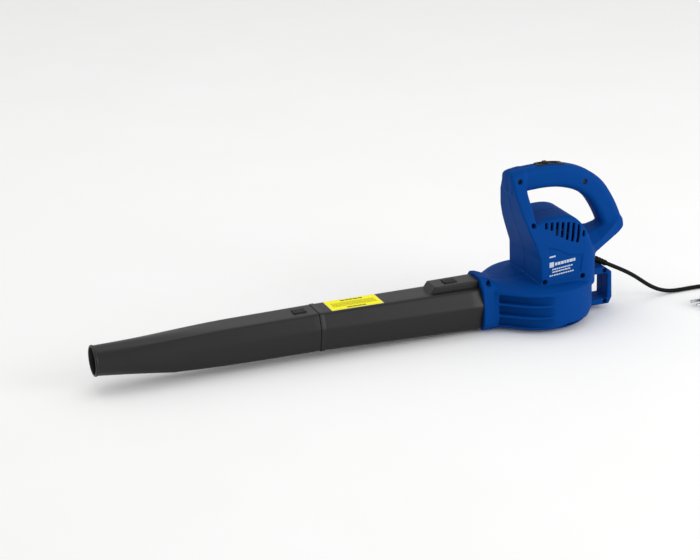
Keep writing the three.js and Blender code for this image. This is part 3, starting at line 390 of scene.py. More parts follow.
def outside_field(x, y, z):
    """The whole body without its hollows: fan housing, block, grip, brace, collar and lead loop, joined
    softly."""
    a = np.abs(y)
    plan = outline_distance(x, y, VOLUTE_PLAN)
    volute = outline_distance(plan, z, VOLUTE_SIDE)
    block = soft_max(block_field(x, y, z), outline_distance(x, z, BLOCK_SIDE), crown_softness(x, z))
    over = line_distance(x, z, GRIP_LINE)
    grip = rounded_corner(over - GRIP_DEEP, a - GRIP_HALF, 12)
    grip = soft_max(grip, (read(FRONT_EDGE, z) - x) * 0.97, 4)
    under, rim, top, rim_half, top_half = (np.interp(x, BRACE[:, 0], BRACE[:, k]) for k in range(1, 6))
    slope = np.clip((top - z) / (top - rim), 0, 1)
    half = top_half + (rim_half - top_half) * slope
    lean = np.where((z > rim) & (z < top), 0.6, 0.95)
    brace = soft_max((a - half) * lean, soft_max(z - top, under - z, 2), 2)
    brace = soft_max(brace, band(x, 60, 151.4), 3)
    grip = soft_max(grip, (141 - z) * 0.953 + (x - 136.5) * 0.303, 2)
    hood = 79 + read(HOOD, x)
    collar = six_sided(y, z, [(20, hood), (37, 76), (41.5, 50), (41.5, 16), (31, 3)], 4)
    collar = soft_max(collar, band(x, COLLAR, -66), 1.2)
    ear = soft_max(outline_distance(x, z, EAR) - 0.01, a - EAR_HALF, 3)
    ear = soft_max(ear, -outline_distance(x, z, EAR_SLOT), 2.5)
    body = soft_min(block, grip, 6)
    body = soft_min(body, brace, 7)
    body = soft_min(body, soft_min(volute, collar, 4), 2.5)
    return soft_min(body, ear, 2.5)


def housing_field(x, y, z):
    """The moulded shell: the outside, less its chambers, bores, recesses, slots and screw holes."""
    a = np.abs(y)
    outside = outside_field(x, y, z)
    block = block_field(x, y, z)
    motor = soft_max(block + WALL, outline_distance(x, z, CHAMBER_SIDE), crown_softness(x, z))
    motor = soft_max(motor, 76 - z, 1)
    fan = soft_max(outline_distance(x, y, FAN_CHAMBER), band(z, 8, 67.5), 2)
    from_shaft = np.hypot(x - AXIS_X, y)
    inlet = np.minimum(np.maximum(from_shaft - 48, z - 12), np.maximum(from_shaft - 55.3, z - 5.7))
    opening = np.maximum(from_shaft - 40, band(z, 60, 78.4))
    grip_hollow = rounded_corner(line_distance(x, z, GRIP_LINE) - 16, a - 14.5, 9)
    grip_hollow = np.maximum(grip_hollow, np.maximum(-36 - x, 205 - z))
    hollow = np.minimum(np.minimum(motor, fan), np.minimum(np.minimum(inlet, opening), grip_hollow))
    shell = soft_max(outside, -hollow, 1)
    holes = np.full(shell.shape, 1e9)
    for sx, sz, wall, sink in SCREWS.values():
        off = np.hypot(x - sx, z - sz)
        shell = np.minimum(shell, soft_max(off - 5.6, outside, 1))
        holes = np.minimum(holes, np.maximum(off - 4.2, y + wall - sink))
        holes = np.minimum(holes, np.maximum(off - 2.1, y - 10))
    duct = np.maximum(six_sided(y, z, tube_corners(x, 4.4), 4), x + 91)
    relief = np.hypot(line_distance(x, z, RELIEF[:, :2]), y) - 7
    window = np.maximum(band(x, 2, 36), np.maximum(a - 5.4, 250 - z))
    label = np.maximum(outline_distance(x, z, LABEL), np.maximum(-LABEL_SUNK - block, y))
    cuts = [duct, relief, window, label]
    plan = outline_distance(x, y, POCKET)
    cuts += [soft_max(plan, band(z, low, high), 3) for low, high in POCKET_LEVELS]
    for k, (low, high) in enumerate(VENT_ENDS):
        left = VENT_FIRST + k * VENT_PITCH
        slot = [(left + (low - 158) * VENT_LEAN, low), (left + VENT_WIDTH + (low - 158) * VENT_LEAN, low),
                (left + VENT_WIDTH + (high - 158) * VENT_LEAN, high), (left + (high - 158) * VENT_LEAN, high)]
        cuts.append(np.maximum(outline_distance(x, z, slot), 38 - a))
    for one in cuts:
        shell = soft_max(shell, -one, 1.2)
    return soft_max(shell, -holes, 0.8)


def skin_of(field, low, high, step):
    """The zero surface of a field in a box, as (points, quads): one point in each grid cell that the surface
    passes through, the mean of where it crosses the cell's edges, moved along the field's slope onto the
    surface; and a quad across each grid edge that changes sign."""
    axes = [np.arange(lo, hi + step, step) for lo, hi in zip(low, high)]
    x, y, z = axes[0][:, None, None], axes[1][None, :, None], axes[2][None, None, :]
    value = field(x, y, z).astype(np.float32)
    inside = value < 0
    shape = np.array(value.shape) - 1
    total, count = np.zeros((*shape, 3), np.float32), np.zeros(shape, np.float32)
    corner = [slice(0, -1), slice(1, None)]
    for axis in range(3):
        others = [k for k in range(3) if k != axis]
        for i in (0, 1):
            for j in (0, 1):
                pick = [None] * 3
                pick[others[0]], pick[others[1]] = corner[i], corner[j]
                pick[axis] = slice(0, -1)
                first = value[tuple(pick)]
                pick[axis] = slice(1, None)
                second = value[tuple(pick)]
                cross = (first < 0) != (second < 0)
                t = np.where(cross, first / np.where(cross, first - second, 1), 0)
                total[..., axis] += np.where(cross, t, 0)
                total[..., others[0]] += i * cross
                total[..., others[1]] += j * cross
                count += cross
    used = count > 0
    number = np.full(shape, -1, np.int64)
    number[used] = np.arange(used.sum())
    cell = np.argwhere(used)
    points = (cell + total[used] / count[used][:, None]) * step + np.asarray(low, float)
    quads = []
    for axis in range(3):
        b, c = (axis + 1) % 3, (axis + 2) % 3
        pick = [slice(1, -1)] * 3
        pick[axis] = slice(0, -1)
        first = inside[tuple(pick)]
        pick[axis] = slice(1, None)
        second = inside[tuple(pick)]
        at = np.argwhere(first != second)
        out = first[tuple(at.T)]
        base = at + 1
        base[:, axis] -= 1
        ring = []
        for db, dc in ((1, 1), (0, 1), (0, 0), (1, 0)):
            k = base.copy()
            k[:, b] -= db
            k[:, c] -= dc
            ring.append(number[tuple(k.T)])
        ring = np.stack(ring, 1)
        quads.append(np.where(out[:, None], ring, ring[:, ::-1]))
    quads = np.vstack(quads)
    reach = 0.05
    for _ in range(2):
        here = field(*points.T)
        slope = np.stack([(field(*(points + d).T) - here) / reach for d in np.eye(3) * reach], 1)
        steep = np.maximum((slope ** 2).sum(1), 0.2)
        move = -slope * (here / steep)[:, None]
        length = np.linalg.norm(move, axis=1, keepdims=True)
        points += move * np.minimum(1, 0.5 * step / np.maximum(length, 1e-9))
    return points, quads


HOUSING_GRID = 1.5


def make_housing():
    """Two moulded halves that meet at the centre plane, each edge at the seam a little rounded."""
    halves = []
    for name, side in (("left", -1), ("right", 1)):
        def half(x, y, z):
            return soft_max(housing_field(x, y, z), SEAM - side * y, 0.7)

        low, high = sorted([-side * 2.1, side * 96.9])
        points, quads = skin_of(half, (-117, low, -1), (159, high, 272), HOUSING_GRID)
        shell = mesh_object(f"housing_shell_{name}", metres(points), quads, "housing")
        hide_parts(f"housing_{name}")
        halves.append(shell)
    return halves


housing_shells = make_housing()


def make_spigots():
    """Thin half sleeves that the rear tube slides over, slotted on top for its latch button."""
    sleeves = []
    for name, side in (("left", -1), ("right", 1)):
        def sleeve(x, y, z):
            outer = six_sided(y, z, tube_corners(x, 2.6), 3)
            wall = soft_max(outer, -six_sided(y, z, tube_corners(x, 4.8), 3), 0.5)
            slot = np.maximum(band(x, -180, -132), np.maximum(np.abs(y) - 10, 55 - z))
            body = soft_max(soft_max(wall, band(x, -175.9, -106), 0.5), -slot, 0.5)
            return soft_max(body, SEAM - side * y, 0.4)

        low, high = sorted([-side * 1.4, side * 40.6])
        points, quads = skin_of(sleeve, (-178, low, 5), (-104, high, 78), 1.0)
        sleeves.append(mesh_object(f"outlet_spigot_{name}", metres(points), quads, "housing"))
    return sleeves


outlet_spigots = make_spigots()


# ---------------------------------------------------------------- blower tubes
def soft_corners(corners, reach, per=5):
    """Rings whose corners, (m, n, 2), become quadratic arcs that start `reach` before each corner, with a few
    more points along each straight side."""
    before = np.roll(corners, 1, axis=1) - corners
    after = np.roll(corners, -1, axis=1) - corners
    reach = np.asarray(reach, float)[None, :, None]
    start = corners + before * np.minimum(0.48, reach / np.linalg.norm(before, axis=2, keepdims=True))
    end = corners + after * np.minimum(0.48, reach / np.linalg.norm(after, axis=2, keepdims=True))
    t = np.linspace(0, 1, per)[None, None, :, None]
    arc = start[:, :, None] * (1 - t) ** 2 + corners[:, :, None] * 2 * t * (1 - t) + end[:, :, None] * t ** 2
    u = np.linspace(0, 1, 8)[None, None, 1:-1, None]
    side = end[:, :, None] * (1 - u) + np.roll(start, -1, axis=1)[:, :, None] * u
    return np.concatenate([arc, side], axis=2).reshape(len(corners), -1, 2)


ROUNDING_FROM, ROUND_BY = -530, -755     # the nozzle's section turns from six-sided to round between these


def tube_rings(x, inset):
    """Rings of the tube's skin: a six-sided section with soft corners that turns round towards the mouth."""
    x, inset = np.asarray(x, float), np.asarray(inset, float)
    (top_half, top), (ridge_half, ridge), (foot_half, bottom) = tube_corners(x, inset)
    corners = np.stack([np.stack([half * side, z], 1) for half, z, side in (
        (top_half, top, 1), (ridge_half, ridge, 1), (foot_half, bottom, 1),
        (foot_half, bottom, -1), (ridge_half, ridge, -1), (top_half, top, -1))], 1)
    ring = soft_corners(corners, [4, 3.5, 9, 9, 3.5, 4])
    centre = np.stack([np.zeros(len(x)), (top + bottom) / 2], 1)[:, None]
    off = ring - centre
    radius = ((top - bottom) / 2)[:, None, None]
    round_ring = centre + off / np.linalg.norm(off, axis=2, keepdims=True) * radius
    t = np.clip((ROUNDING_FROM - x) / (ROUNDING_FROM - ROUND_BY), 0, 1)
    t = (t * t * (3 - 2 * t))[:, None, None]
    ring = ring * (1 - t) + round_ring * t
    return metres(np.concatenate([np.broadcast_to(x[:, None, None], (*ring.shape[:2], 1)), ring], 2))


def tube_wall(name, outer, inner, body):
    """A tube wall: rings along its outer skin and back along its inner one, from (x, inset) stations."""
    path = np.array([*outer, *inner], float)
    return ring_skin(name, tube_rings(path[:, 0], path[:, 1]), body, closed_on_itself=True, smooth_angle=30)


def cut_window(piece, low, high):
    """An opening with straight sides through a piece, as a box between two corners in body millimetres."""
    low, high = metres(low), metres(high)
    middle = (low + high) / 2
    half = (high - low) / 2
    sign = np.array([(-1, -1), (1, -1), (1, 1), (-1, 1)], float)
    rings = [np.column_stack([middle[:2] + sign * half[:2], np.full(4, z)]) for z in (low[2], high[2])]
    cutter = ring_skin("cutter", rings, None)
    modifier = piece.modifiers.new("window", "BOOLEAN")
    modifier.object, modifier.operation, modifier.solver = cutter, "DIFFERENCE", "EXACT"
    bpy.context.view_layer.update()
    mesh = bpy.data.meshes.new_from_object(piece.evaluated_get(bpy.context.evaluated_depsgraph_get()))
    piece.modifiers.clear()
    piece.data = mesh
    mesh.set_sharp_from_angle(angle=math.radians(30))
    bpy.data.objects.remove(cutter)


def spaced(start, end, gap, inset):
    """Stations at an even inset from start to end."""
    return [(x, inset) for x in np.linspace(start, end, max(2, round(abs(end - start) / gap) + 1))]


REAR_BUTTON_X, NOZZLE_BUTTON_X = -160, -423
BUTTON_HALF_LENGTH, BUTTON_HALF_WIDTH, BUTTON_GAP = 11, 9, 0.4


def make_tubes():
    """Rear tube with a lip over the joint and a spigot inside it; nozzle tube with a bead round its mouth."""
    rear = tube_wall("rear_tube_wall", [
        (JOINT, -0.2), (JOINT + 0.6, -0.7), (JOINT + 7, -0.7), (JOINT + 7.6, -0.5), (JOINT + 8, 0),
        *spaced(JOINT + 9, COLLAR - 1.4, 20, 0), (COLLAR - 0.7, 0.3), (COLLAR - 0.3, 0.9)],
        [(COLLAR - 0.3, 1.9), (COLLAR - 0.6, TUBE_WALL), *spaced(COLLAR - 1.4, JOINT + 0.8, 20, TUBE_WALL),
         (JOINT, 1.5)], "rear_tube")
    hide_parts("rear_tube")
    spigot = tube_wall("nozzle_spigot", [
        (JOINT - 62, 3.1), (JOINT - 61.4, 2.6), *spaced(JOINT - 60, JOINT - 1, 20, 2.6), (JOINT - 0.2, 2.4),
        (JOINT + 0.4, 1.9), (JOINT + 6, 1.9)],
        [(JOINT + 6, 4.6), *spaced(JOINT + 5, JOINT - 61.4, 20, 4.6), (JOINT - 62, 4.2)], "rear_tube")
    nozzle = tube_wall("nozzle_wall", [
        (MOUTH, 0.2), (MOUTH + 0.4, -0.7), (MOUTH + 1.4, -1.2), (MOUTH + 3, -1.2), (MOUTH + 4.2, -0.7),
        (MOUTH + 5, 0), *spaced(MOUTH + 6, JOINT - 2, 10, 0), (JOINT - 0.9, 0.1), (JOINT - 0.3, 0.6)],
        [(JOINT - 0.3, 1.6), (JOINT - 0.9, TUBE_WALL), *spaced(JOINT - 2, MOUTH + 1.2, 10, TUBE_WALL),
         (MOUTH + 0.4, 1.7), (MOUTH, 1.2)], "nozzle")
    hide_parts("nozzle_tube")
    for wall, x in ((rear, REAR_BUTTON_X), (nozzle, NOZZLE_BUTTON_X)):
        long, wide = BUTTON_HALF_LENGTH + BUTTON_GAP, BUTTON_HALF_WIDTH + BUTTON_GAP
        cut_window(wall, (x - long, -wide, 66), (x + long, wide, 96))
    return rear, spigot, nozzle


rear_wall, nozzle_spigot, nozzle_wall = make_tubes()

LATCH_BOX = [(-202, 74), (-192, 87.5), (COLLAR - 0.3, 88), (COLLAR - 0.3, 73), (-202, 73)]


def make_latch_box():
    """The raised box over the rear latch: a wedge-fronted block, hollow, and open round its button."""
    def box(x, y, z):
        a = np.abs(y)
        solid = soft_max(outline_distance(x, z, LATCH_BOX), a - 18.6, 2.2)
        hollow = np.maximum(band(x, -186, -126), np.maximum(a - 15.5, band(z, 70, 85.2)))
        over_button = np.maximum(np.abs(x - REAR_BUTTON_X) - BUTTON_HALF_LENGTH, a - BUTTON_HALF_WIDTH)
        window = over_button - BUTTON_GAP
        return soft_max(soft_max(solid, -hollow, 0.6), -window, 0.6)

    points, quads = skin_of(box, (-204, -20.3, 72), (-113, 20.3, 90), 0.8)
    return mesh_object("latch_box", metres(points), quads, "rear_tube")


latch_box = make_latch_box()


def make_button(name, x0, bottom, toe_top, top, body):
    """A push button: a block with soft edges and grip ridges, on a plate that keeps it under the wall."""
    def button(x, y, z):
        a = np.abs(y) - BUTTON_HALF_WIDTH
        off = np.abs(x - x0)
        ridges = 0.45 * (np.cos((x - x0) * 2 * np.pi / 4.4) - 1) * (off < 7.7)
        cap = soft_max(soft_max(off - BUTTON_HALF_LENGTH, a, 2.5), band(z, bottom, top + ridges), 1.4)
        toe = soft_max(soft_max(off - 16, a, 2.5), band(z, toe_top - 3, toe_top), 1)
        return np.minimum(cap, toe)

    points, quads = skin_of(button, (x0 - 17.2, -10.2, bottom - 1.2), (x0 + 17.2, 10.2, top + 1.2), 0.6)
    return mesh_object(name, metres(points), quads, body)


rear_button = make_button("rear_latch_cap", REAR_BUTTON_X, 64, 84.8, 89.4, "rear_latch")
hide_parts("latch_button_rear")
nozzle_button = make_button("nozzle_latch_cap", NOZZLE_BUTTON_X, 62, 73.6, 79.2, "nozzle_latch")
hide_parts("latch_button_nozzle")


# ---------------------------------------------------------------- switch
SLIDER_X = 14                    # the slider's middle at rest


def make_switch():
    """A thin plate that follows the grip, with a slot in it, and a slider with a ridged thumb piece."""
    def over_grip(x, y, z, grow):
        over, beside = line_distance(x, z, GRIP_LINE) - GRIP_DEEP, np.abs(y) - GRIP_HALF
        return rounded_corner(over - grow, beside - grow, 12)

    def plate(x, y, z):
        a = np.abs(y)
        outline = soft_max(band(x, -3, 46), a - 9, 3)
        slot = soft_max(band(x, 2.2, 35.8), a - 5.2, 1.5)
        skin = soft_max(over_grip(x, y, z, 1.2), -over_grip(x, y, z, -0.3), 0.5)
        return soft_max(soft_max(soft_max(skin, outline, 0.8), -slot, 0.6), 250 - z, 0.5)

    def slider(x, y, z):
        a, off = np.abs(y), np.abs(x - SLIDER_X)
        deck = 266.3 + 0.35 * np.cos((x - SLIDER_X) * 2 * np.pi / 2.75)
        block = soft_max(soft_max(off - 11, a - 4.9, 1), band(z, 259, deck), 0.8)
        hump = soft_max(soft_max(off - 5 + (z - 266) * 0.33, a - 4.9, 1.2), band(z, 264, 270.6), 1.6)
        foot = soft_max(soft_max(off - 11, a - 7.4, 1), band(z, 257.2, 259.2), 0.5)
        return np.minimum(soft_min(block, hump, 0.8), foot)

    points, quads = skin_of(plate, (-4, -10.2, 250), (47, 10.2, 270), 0.5)
    bezel = mesh_object("switch_bezel", metres(points), quads, "housing")
    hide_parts("switch_plate")
    points, quads = skin_of(slider, (SLIDER_X - 12, -8.2, 256.4), (SLIDER_X + 12, 8.2, 271.6), 0.4)
    thumb = mesh_object("switch_thumb", metres(points), quads, "switch")
    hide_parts("switch_slider")
    return bezel, thumb


switch_bezel, switch_thumb = make_switch()


# ---------------------------------------------------------------- strain relief
def make_relief():
    """A tapering sleeve round the lead: a bar whose radius falls along its line, with grooves round it."""
    line = curve_through([(x, 0, z) for x, z, _ in RELIEF], 6)
    length = np.concatenate([[0], np.cumsum(np.linalg.norm(np.diff(line, axis=0), axis=1))])
    at = np.linspace(0, length[-1], 90)
    line = np.stack([np.interp(at, length, line[:, k]) for k in range(3)], 1)
    radius = np.interp(line[:, 0], RELIEF[:, 0], RELIEF[:, 2])
    ribbed = (line[:, 0] > 95) & (line[:, 0] < 127)
    radius = radius - 0.9 * ribbed * (np.cos((line[:, 0] - 95) * 2 * np.pi / 5.3) < -0.1)
    radius[-1] -= 0.6
    sleeve = ring_skin("relief_sleeve", along(metres(line), radius * MM, 24), "housing", smooth_angle=40)
    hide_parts("strain_relief")
    return sleeve


relief_sleeve = make_relief()


# ---------------------------------------------------------------- printed films
def flat_tiles(name, tiles, thickness, place, body):
    """Small flat plates: each tile is (u0, u1, v0, v1), and place turns its corners (u, v, depth) into body
    millimetres. Each has eight corners and six faces, all worked out at once."""
    tiles = np.asarray(tiles, float)
    u = tiles[:, [0, 1, 1, 0]]
    v = tiles[:, [2, 2, 3, 3]]
    u, v = np.concatenate([u, u], 1), np.concatenate([v, v], 1)
    depth = np.repeat([[0.0] * 4 + [thickness] * 4], len(tiles), 0)
    points = place(u.ravel(), v.ravel(), depth.ravel())
    box = np.array([(0, 3, 2, 1), (4, 5, 6, 7), (0, 1, 5, 4), (1, 2, 6, 5), (2, 3, 7, 6), (3, 0, 4, 7)])
    faces = (box[None] + 8 * np.arange(len(tiles))[:, None, None]).reshape(-1, 4)
    return mesh_object(name, metres(points), outward(points, faces), body, 30)


def word_bars(u0, u1, v0, v1, rows, shortest, longest, seed, share=0.52):
    """Rows of short bars with gaps between them, as lines of small print look from afar."""
    rng = np.random.default_rng(seed)
    tiles = []
    pitch = (v1 - v0) / rows
    for row in range(rows):
        v = v0 + (row + 0.22) * pitch
        u = u0
        while u < u1 - shortest:
            run = min(rng.uniform(shortest, longest), u1 - u)
            tiles.append((u, u + run, v, v + pitch * share))
            u += run + 0.9
    return tiles


LABEL_FROM, LABEL_TO, LABEL_HALF = -374, -284, 22


def make_tube_label():
    """A film on the flat top of the rear tube: a pale border, a bright field, and rows of dark bars on it."""
    def on_top(u, v, depth):
        return np.stack([u, v, read(TUBE_TOP, u) + depth], 1)

    film = flat_tiles("label_border", [(LABEL_FROM, LABEL_TO, -LABEL_HALF, LABEL_HALF)], 0.45,
                      lambda u, v, d: on_top(u, v, d + 0.05), "rear_tube")
    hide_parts("tube_label")
    field = flat_tiles("label_field", [(LABEL_FROM + 1, LABEL_TO - 1, -LABEL_HALF + 1, LABEL_HALF - 1)],
                       0.12, lambda u, v, d: on_top(u, v, d + 0.46), "rear_tube")
    bars = word_bars(-346, -308, -19.5, -12.5, 1, 5, 9, 4) + word_bars(-346, -308, 12.5, 19.5, 1, 5, 9, 6)
    bars += word_bars(-366, -291, -9, 9, 5, 2, 5, 8, 0.3)
    print_bars = flat_tiles("label_print", bars, 0.08, lambda u, v, d: on_top(u, v, d + 0.59), "rear_tube")
    return film, field, print_bars


label_border, label_field, label_print = make_tube_label()


def make_side_print():
    """Pale bars printed on the sunk side panel: a tag, a mark and four rows that rise to the rear."""
    def on_panel(u, v, depth):
        v = v + 0.09 * u
        side = read(HALF_WIDTH, v)
        return np.stack([u, -(side - LABEL_SUNK / 0.97) - depth, v], 1)

    tiles = [(-6, 5, 123.5, 126), (-6, 2, 107, 115.5)]
    tiles += word_bars(4, 41, 106.5, 116, 1, 3.5, 6.5, 11)
    tiles += word_bars(-1, 36, 100.5, 104.8, 1, 2, 4, 12) + word_bars(-1, 33, 96, 100.2, 1, 2, 5, 13)
    tiles += word_bars(-6, 39, 90.5, 94.6, 1, 1.6, 4, 14)
    panel = flat_tiles("panel_print", tiles, 0.1, on_panel, "housing")
    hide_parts("side_label")
    return panel


panel_print = make_side_print()


# ---------------------------------------------------------------- materials
def linear(code):
    """An sRGB hex colour as linear red, green, blue and an alpha of one."""
    srgb = np.array([int(code[k:k + 2], 16) for k in (1, 3, 5)]) / 255
    value = np.where(srgb <= 0.04045, srgb / 12.92, ((srgb + 0.055) / 1.055) ** 2.4)
    return (*value, 1.0)


def add(tree, kind, settings=None, inputs=None, links=None):
    """A node of a kind, with its settings, its input values, and links into it as (node, output name)."""
    made = tree.nodes.new(kind)
    for key, value in (settings or {}).items():
        setattr(made, key, value)
    for key, value in (inputs or {}).items():
        made.inputs[key].default_value = value
    for key, (source, output) in (links or {}).items():
        tree.links.new(source.outputs[output], made.inputs[key])
    return made


def material(name, **shader):
    """A material with its Principled shader set, and an Object coordinate to hang patterns on."""
    made = bpy.data.materials.new(name)
    made.use_nodes = True
    tree = made.node_tree
    main = tree.nodes["Principled BSDF"]
    for key, value in shader.items():
        main.inputs[key.replace("_", " ")].default_value = value
    return made, tree, main, add(tree, "ShaderNodeTexCoord")


def moulded_plastic(name, colour, flow, roughness, grain_mm, depth_mm, ior=1.5, shine=0.5):
    """Plastic from a textured mould: a fine even grain as bump, slow drifts of shade where the melt flowed,
    and gloss that changes a little with the grain."""
    made, tree, main, place = material(name, IOR=ior, Specular_IOR_Level=shine)
    grain = add(tree, "ShaderNodeTexNoise", links={"Vector": (place, "Object")},
                inputs={"Scale": 1000 / grain_mm, "Detail": 3.0, "Roughness": 0.6})
    drift = add(tree, "ShaderNodeTexNoise", inputs={"Scale": 1000 / 45, "Detail": 2.0},
                links={"Vector": (place, "Object")})
    shade = add(tree, "ShaderNodeMix", {"data_type": "RGBA"}, {6: linear(colour), 7: linear(flow)},
                {0: (drift, "Fac")})
    gloss = add(tree, "ShaderNodeMapRange", inputs={"To Min": roughness - 0.06, "To Max": roughness + 0.08},
                links={"Value": (grain, "Fac")})
    bump = add(tree, "ShaderNodeBump", inputs={"Strength": 0.5, "Distance": depth_mm * MM},
               links={"Height": (grain, "Fac")})
    tree.links.new(shade.outputs[2], main.inputs["Base Color"])
    tree.links.new(gloss.outputs["Result"], main.inputs["Roughness"])
    tree.links.new(bump.outputs["Normal"], main.inputs["Normal"])
    return made


def worked_metal(name, colour, worn, roughness, mark_mm, stretch, depth_mm):
    """Metal with tool marks: noise drawn out along one axis for the marks, and patches of a duller tone."""
    made, tree, main, place = material(name, Metallic=1.0)
    turned = add(tree, "ShaderNodeMapping", inputs={"Scale": stretch}, links={"Vector": (place, "Object")})
    marks = add(tree, "ShaderNodeTexNoise", inputs={"Scale": 1000 / mark_mm, "Detail": 4.0},
                links={"Vector": (turned, "Vector")})
    patches = add(tree, "ShaderNodeTexNoise", inputs={"Scale": 1000 / 12, "Detail": 3.0},
                  links={"Vector": (place, "Object")})
    shade = add(tree, "ShaderNodeMix", {"data_type": "RGBA"}, {6: linear(colour), 7: linear(worn)},
                {0: (patches, "Fac")})
    gloss = add(tree, "ShaderNodeMapRange", inputs={"To Min": roughness - 0.08, "To Max": roughness + 0.12},
                links={"Value": (marks, "Fac")})
    bump = add(tree, "ShaderNodeBump", inputs={"Strength": 0.4, "Distance": depth_mm * MM},
               links={"Height": (marks, "Fac")})
    tree.links.new(shade.outputs[2], main.inputs["Base Color"])
    tree.links.new(gloss.outputs["Result"], main.inputs["Roughness"])
    tree.links.new(bump.outputs["Normal"], main.inputs["Normal"])
    return made


# Dyed ABS from a spark-eroded mould: an even satin with a fine grain that breaks up highlights.
# The real grain is about 0.1 mm and is drawn at 0.9 mm so that it shows.
blue_abs = moulded_plastic("blue_abs_spark_eroded_mould", "#003a80", "#003f88", 0.6, 0.9, 0.05, 1.5, 0.04)
# Carbon-black polypropylene, the same sort of mould but waxier: softer highlights, faint flow shades.
tube_pp = moulded_plastic("charcoal_polypropylene_moulded", "#151516", "#1a1a1b", 0.4, 1.1, 0.05, 1.49, 0.34)
# Black nylon with a finer grain, for parts that a finger pushes.
trim_nylon = moulded_plastic("black_nylon_moulded", "#0b0b0d", "#101012", 0.5, 0.7, 0.04, 1.53, 0.22)
# Glass-filled nylon of the motor's inner parts: dull, with a coarse swirl of fibre at the surface.
inner_nylon = moulded_plastic("glass_filled_nylon_moulded", "#19191b", "#242427", 0.6, 1.6, 0.09, 1.53)
# Soft PVC, extruded for the lead and moulded for the plug: dull black that is smooth to the eye.
soft_pvc = moulded_plastic("black_pvc_extruded", "#050507", "#08080a", 0.6, 2.2, 0.03, 1.53, 0.12)
# Printed polyester film: glossy, flat and evenly coloured, with a trace of the ink's unevenness.
yellow_film = moulded_plastic("yellow_polyester_film_printed", "#fdf200", "#fff703", 0.4, 4, 0.01, 1.6, 0.06)
border_film = moulded_plastic("pale_polyester_film_printed", "#c9c98c", "#d4d49a", 0.35, 4.0, 0.01, 1.6, 0.2)
# Screen-printed ink: thin, matt, with a slightly broken edge of tone.
dark_ink = moulded_plastic("black_ink_screen_printed", "#141410", "#26261c", 0.6, 0.8, 0.01)
pale_ink = moulded_plastic("white_ink_pad_printed", "#aab4c2", "#c6ced8", 0.55, 0.8, 0.01)
# Phenolic resin and card of the capacitor and brush holders: pale, dull, slightly mottled.
pale_resin = moulded_plastic("pale_phenolic_moulded", "#b9b3a2", "#c8c3b4", 0.55, 1.2, 0.04)
# Pressed carbon: nearly black, soft sheen, grains that catch the light.
carbon = moulded_plastic("carbon_graphite_pressed", "#1a1a1c", "#2c2c2f", 0.5, 0.5, 0.05, 1.8)
# Turned and ground bar steel: bright, with fine rings round it.
bright_steel = worked_metal("mild_steel_turned_and_ground", "#b4b7bb", "#9a9da2", 0.3, 1.2, (1, 1, 14), 0.01)
# Zinc-plated screw steel with a black passivation: dark, satin, slightly patchy.
black_zinc = worked_metal("screw_steel_black_zinc", "#3c3e42", "#2c2d31", 0.42, 1.5, (1, 1, 1), 0.02)
# Stamped silicon-steel laminations in a stack: dull grey with fine lines between the sheets.
laminations = worked_metal("silicon_steel_stamped_stack", "#5b5d61", "#46484c", 0.5, 2.0, (0.4, 0.4, 9), 0.08)
# Enamelled copper wire, wound: warm lacquer gloss over fine strands.
wound_copper = worked_metal("copper_wire_enamelled", "#a85a28", "#8a4319", 0.35, 1.0, (1, 1, 7), 0.12)

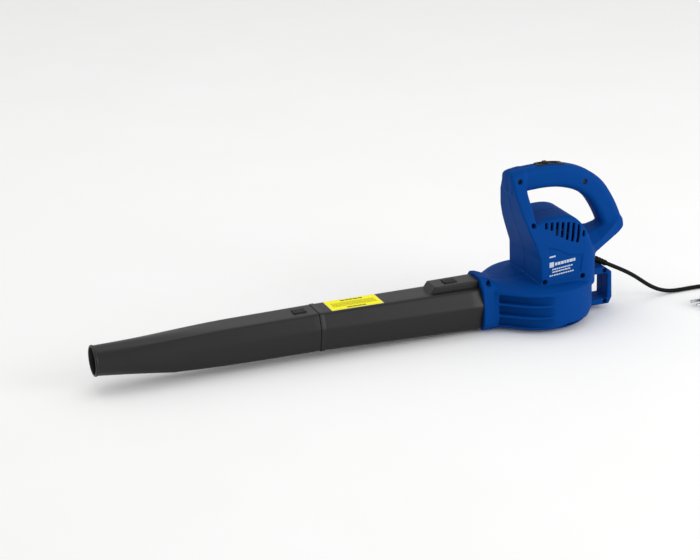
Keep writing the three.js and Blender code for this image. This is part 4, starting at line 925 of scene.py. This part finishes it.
FINISHES = [
    (blue_abs, "body_blue", housing_shells + outlet_spigots, []),
    (tube_pp, "tube_charcoal", [rear_wall, nozzle_spigot, nozzle_wall, latch_box], []),
    (trim_nylon, "trim_black", [rear_button, nozzle_button, switch_bezel, switch_thumb],
     ["inlet_grille", "impeller", "cooling_fan"]),
    (inner_nylon, "inner_charcoal", [], ["switch_body", "cord_clamp", "motor_plate", "bearing_bridge"]),
    (soft_pvc, "rubber", [lead, plug, relief_sleeve], ["lead_tail"]),
    (yellow_film, "label_yellow", [label_field], []),
    (border_film, "label_pale", [label_border], []),
    (dark_ink, "trim_black", [label_print], []),
    (pale_ink, "label_pale", [panel_print], []),
    (pale_resin, "label_pale", [], ["capacitor", "brush_holder_left", "brush_holder_right"]),
    (carbon, "carbon", [], ["carbon_brush_left", "carbon_brush_right"]),
    (bright_steel, "steel", [],
     ["impeller_nut", "motor_shaft", "bearing_lower", "bearing_upper", "clamp_screw_left",
      "clamp_screw_right", "plug_pin_left", "plug_pin_right"]),
    (black_zinc, "dark_steel", [],
     [f"screw_{name}" for name in SCREWS] + [f"grille_screw_{k}" for k in (1, 2, 3)]),
    (laminations, "laminations", [], ["armature_core", "stator_core"]),
    (wound_copper, "copper", [], ["armature_winding_lower", "armature_winding_upper", "commutator",
                                  "field_coil_left", "field_coil_right"]),
]


def give_finishes():
    """Each piece and each kept node gets its material."""
    for finish, slot, pieces, nodes in FINISHES:
        for piece in pieces + [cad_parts[name] for name in nodes]:
            piece.data.materials.clear()
            piece.data.materials.append(finish)


give_finishes()


# ---------------------------------------------------------------- room
def make_room():
    """A pale floor, an even sky, a broad lamp low on the near side, and a weak one overhead."""
    scene = bpy.context.scene
    scene.view_settings.view_transform = "Standard"
    rings = np.array([[(-9, -9, z), (9, -9, z), (9, 9, z), (-9, 9, z)] for z in (-0.02, -0.0002)], float)
    floor = ring_skin("floor", rings, None)
    # Matt paper sweep: near white, with no pattern that the eye can find.
    made, tree, main, place = material("paper_sweep_matt", Roughness=0.9)
    fibre = add(tree, "ShaderNodeTexNoise", inputs={"Scale": 4.0}, links={"Vector": (place, "Object")})
    shade = add(tree, "ShaderNodeMix", {"data_type": "RGBA"}, {6: linear("#fbfbfa"), 7: linear("#ffffff")},
                {0: (fibre, "Fac")})
    tree.links.new(shade.outputs[2], main.inputs["Base Color"])
    floor.data.materials.append(made)
    world = bpy.data.worlds.new("sky")
    world.use_nodes = True
    world.node_tree.nodes["Background"].inputs["Color"].default_value = (1, 1, 1, 1)
    world.node_tree.nodes["Background"].inputs["Strength"].default_value = 0.77
    scene.world = world
    lamps = [("near_lamp", (2.1, -2.3, 0.8), 2.6, 58), ("top_lamp", (-0.3, 0.6, 2.8), 2.2, 12)]
    for name, spot, size, power in lamps:
        data = bpy.data.lights.new(name, "AREA")
        data.shape, data.size, data.energy = "DISK", size, power
        lamp = bpy.data.objects.new(name, data)
        lamp.location = spot
        lamp.rotation_euler = (Vector((-0.2, 0, 0.1)) - lamp.location).to_track_quat("-Z", "Y").to_euler()
        scene.collection.objects.link(lamp)


make_room()
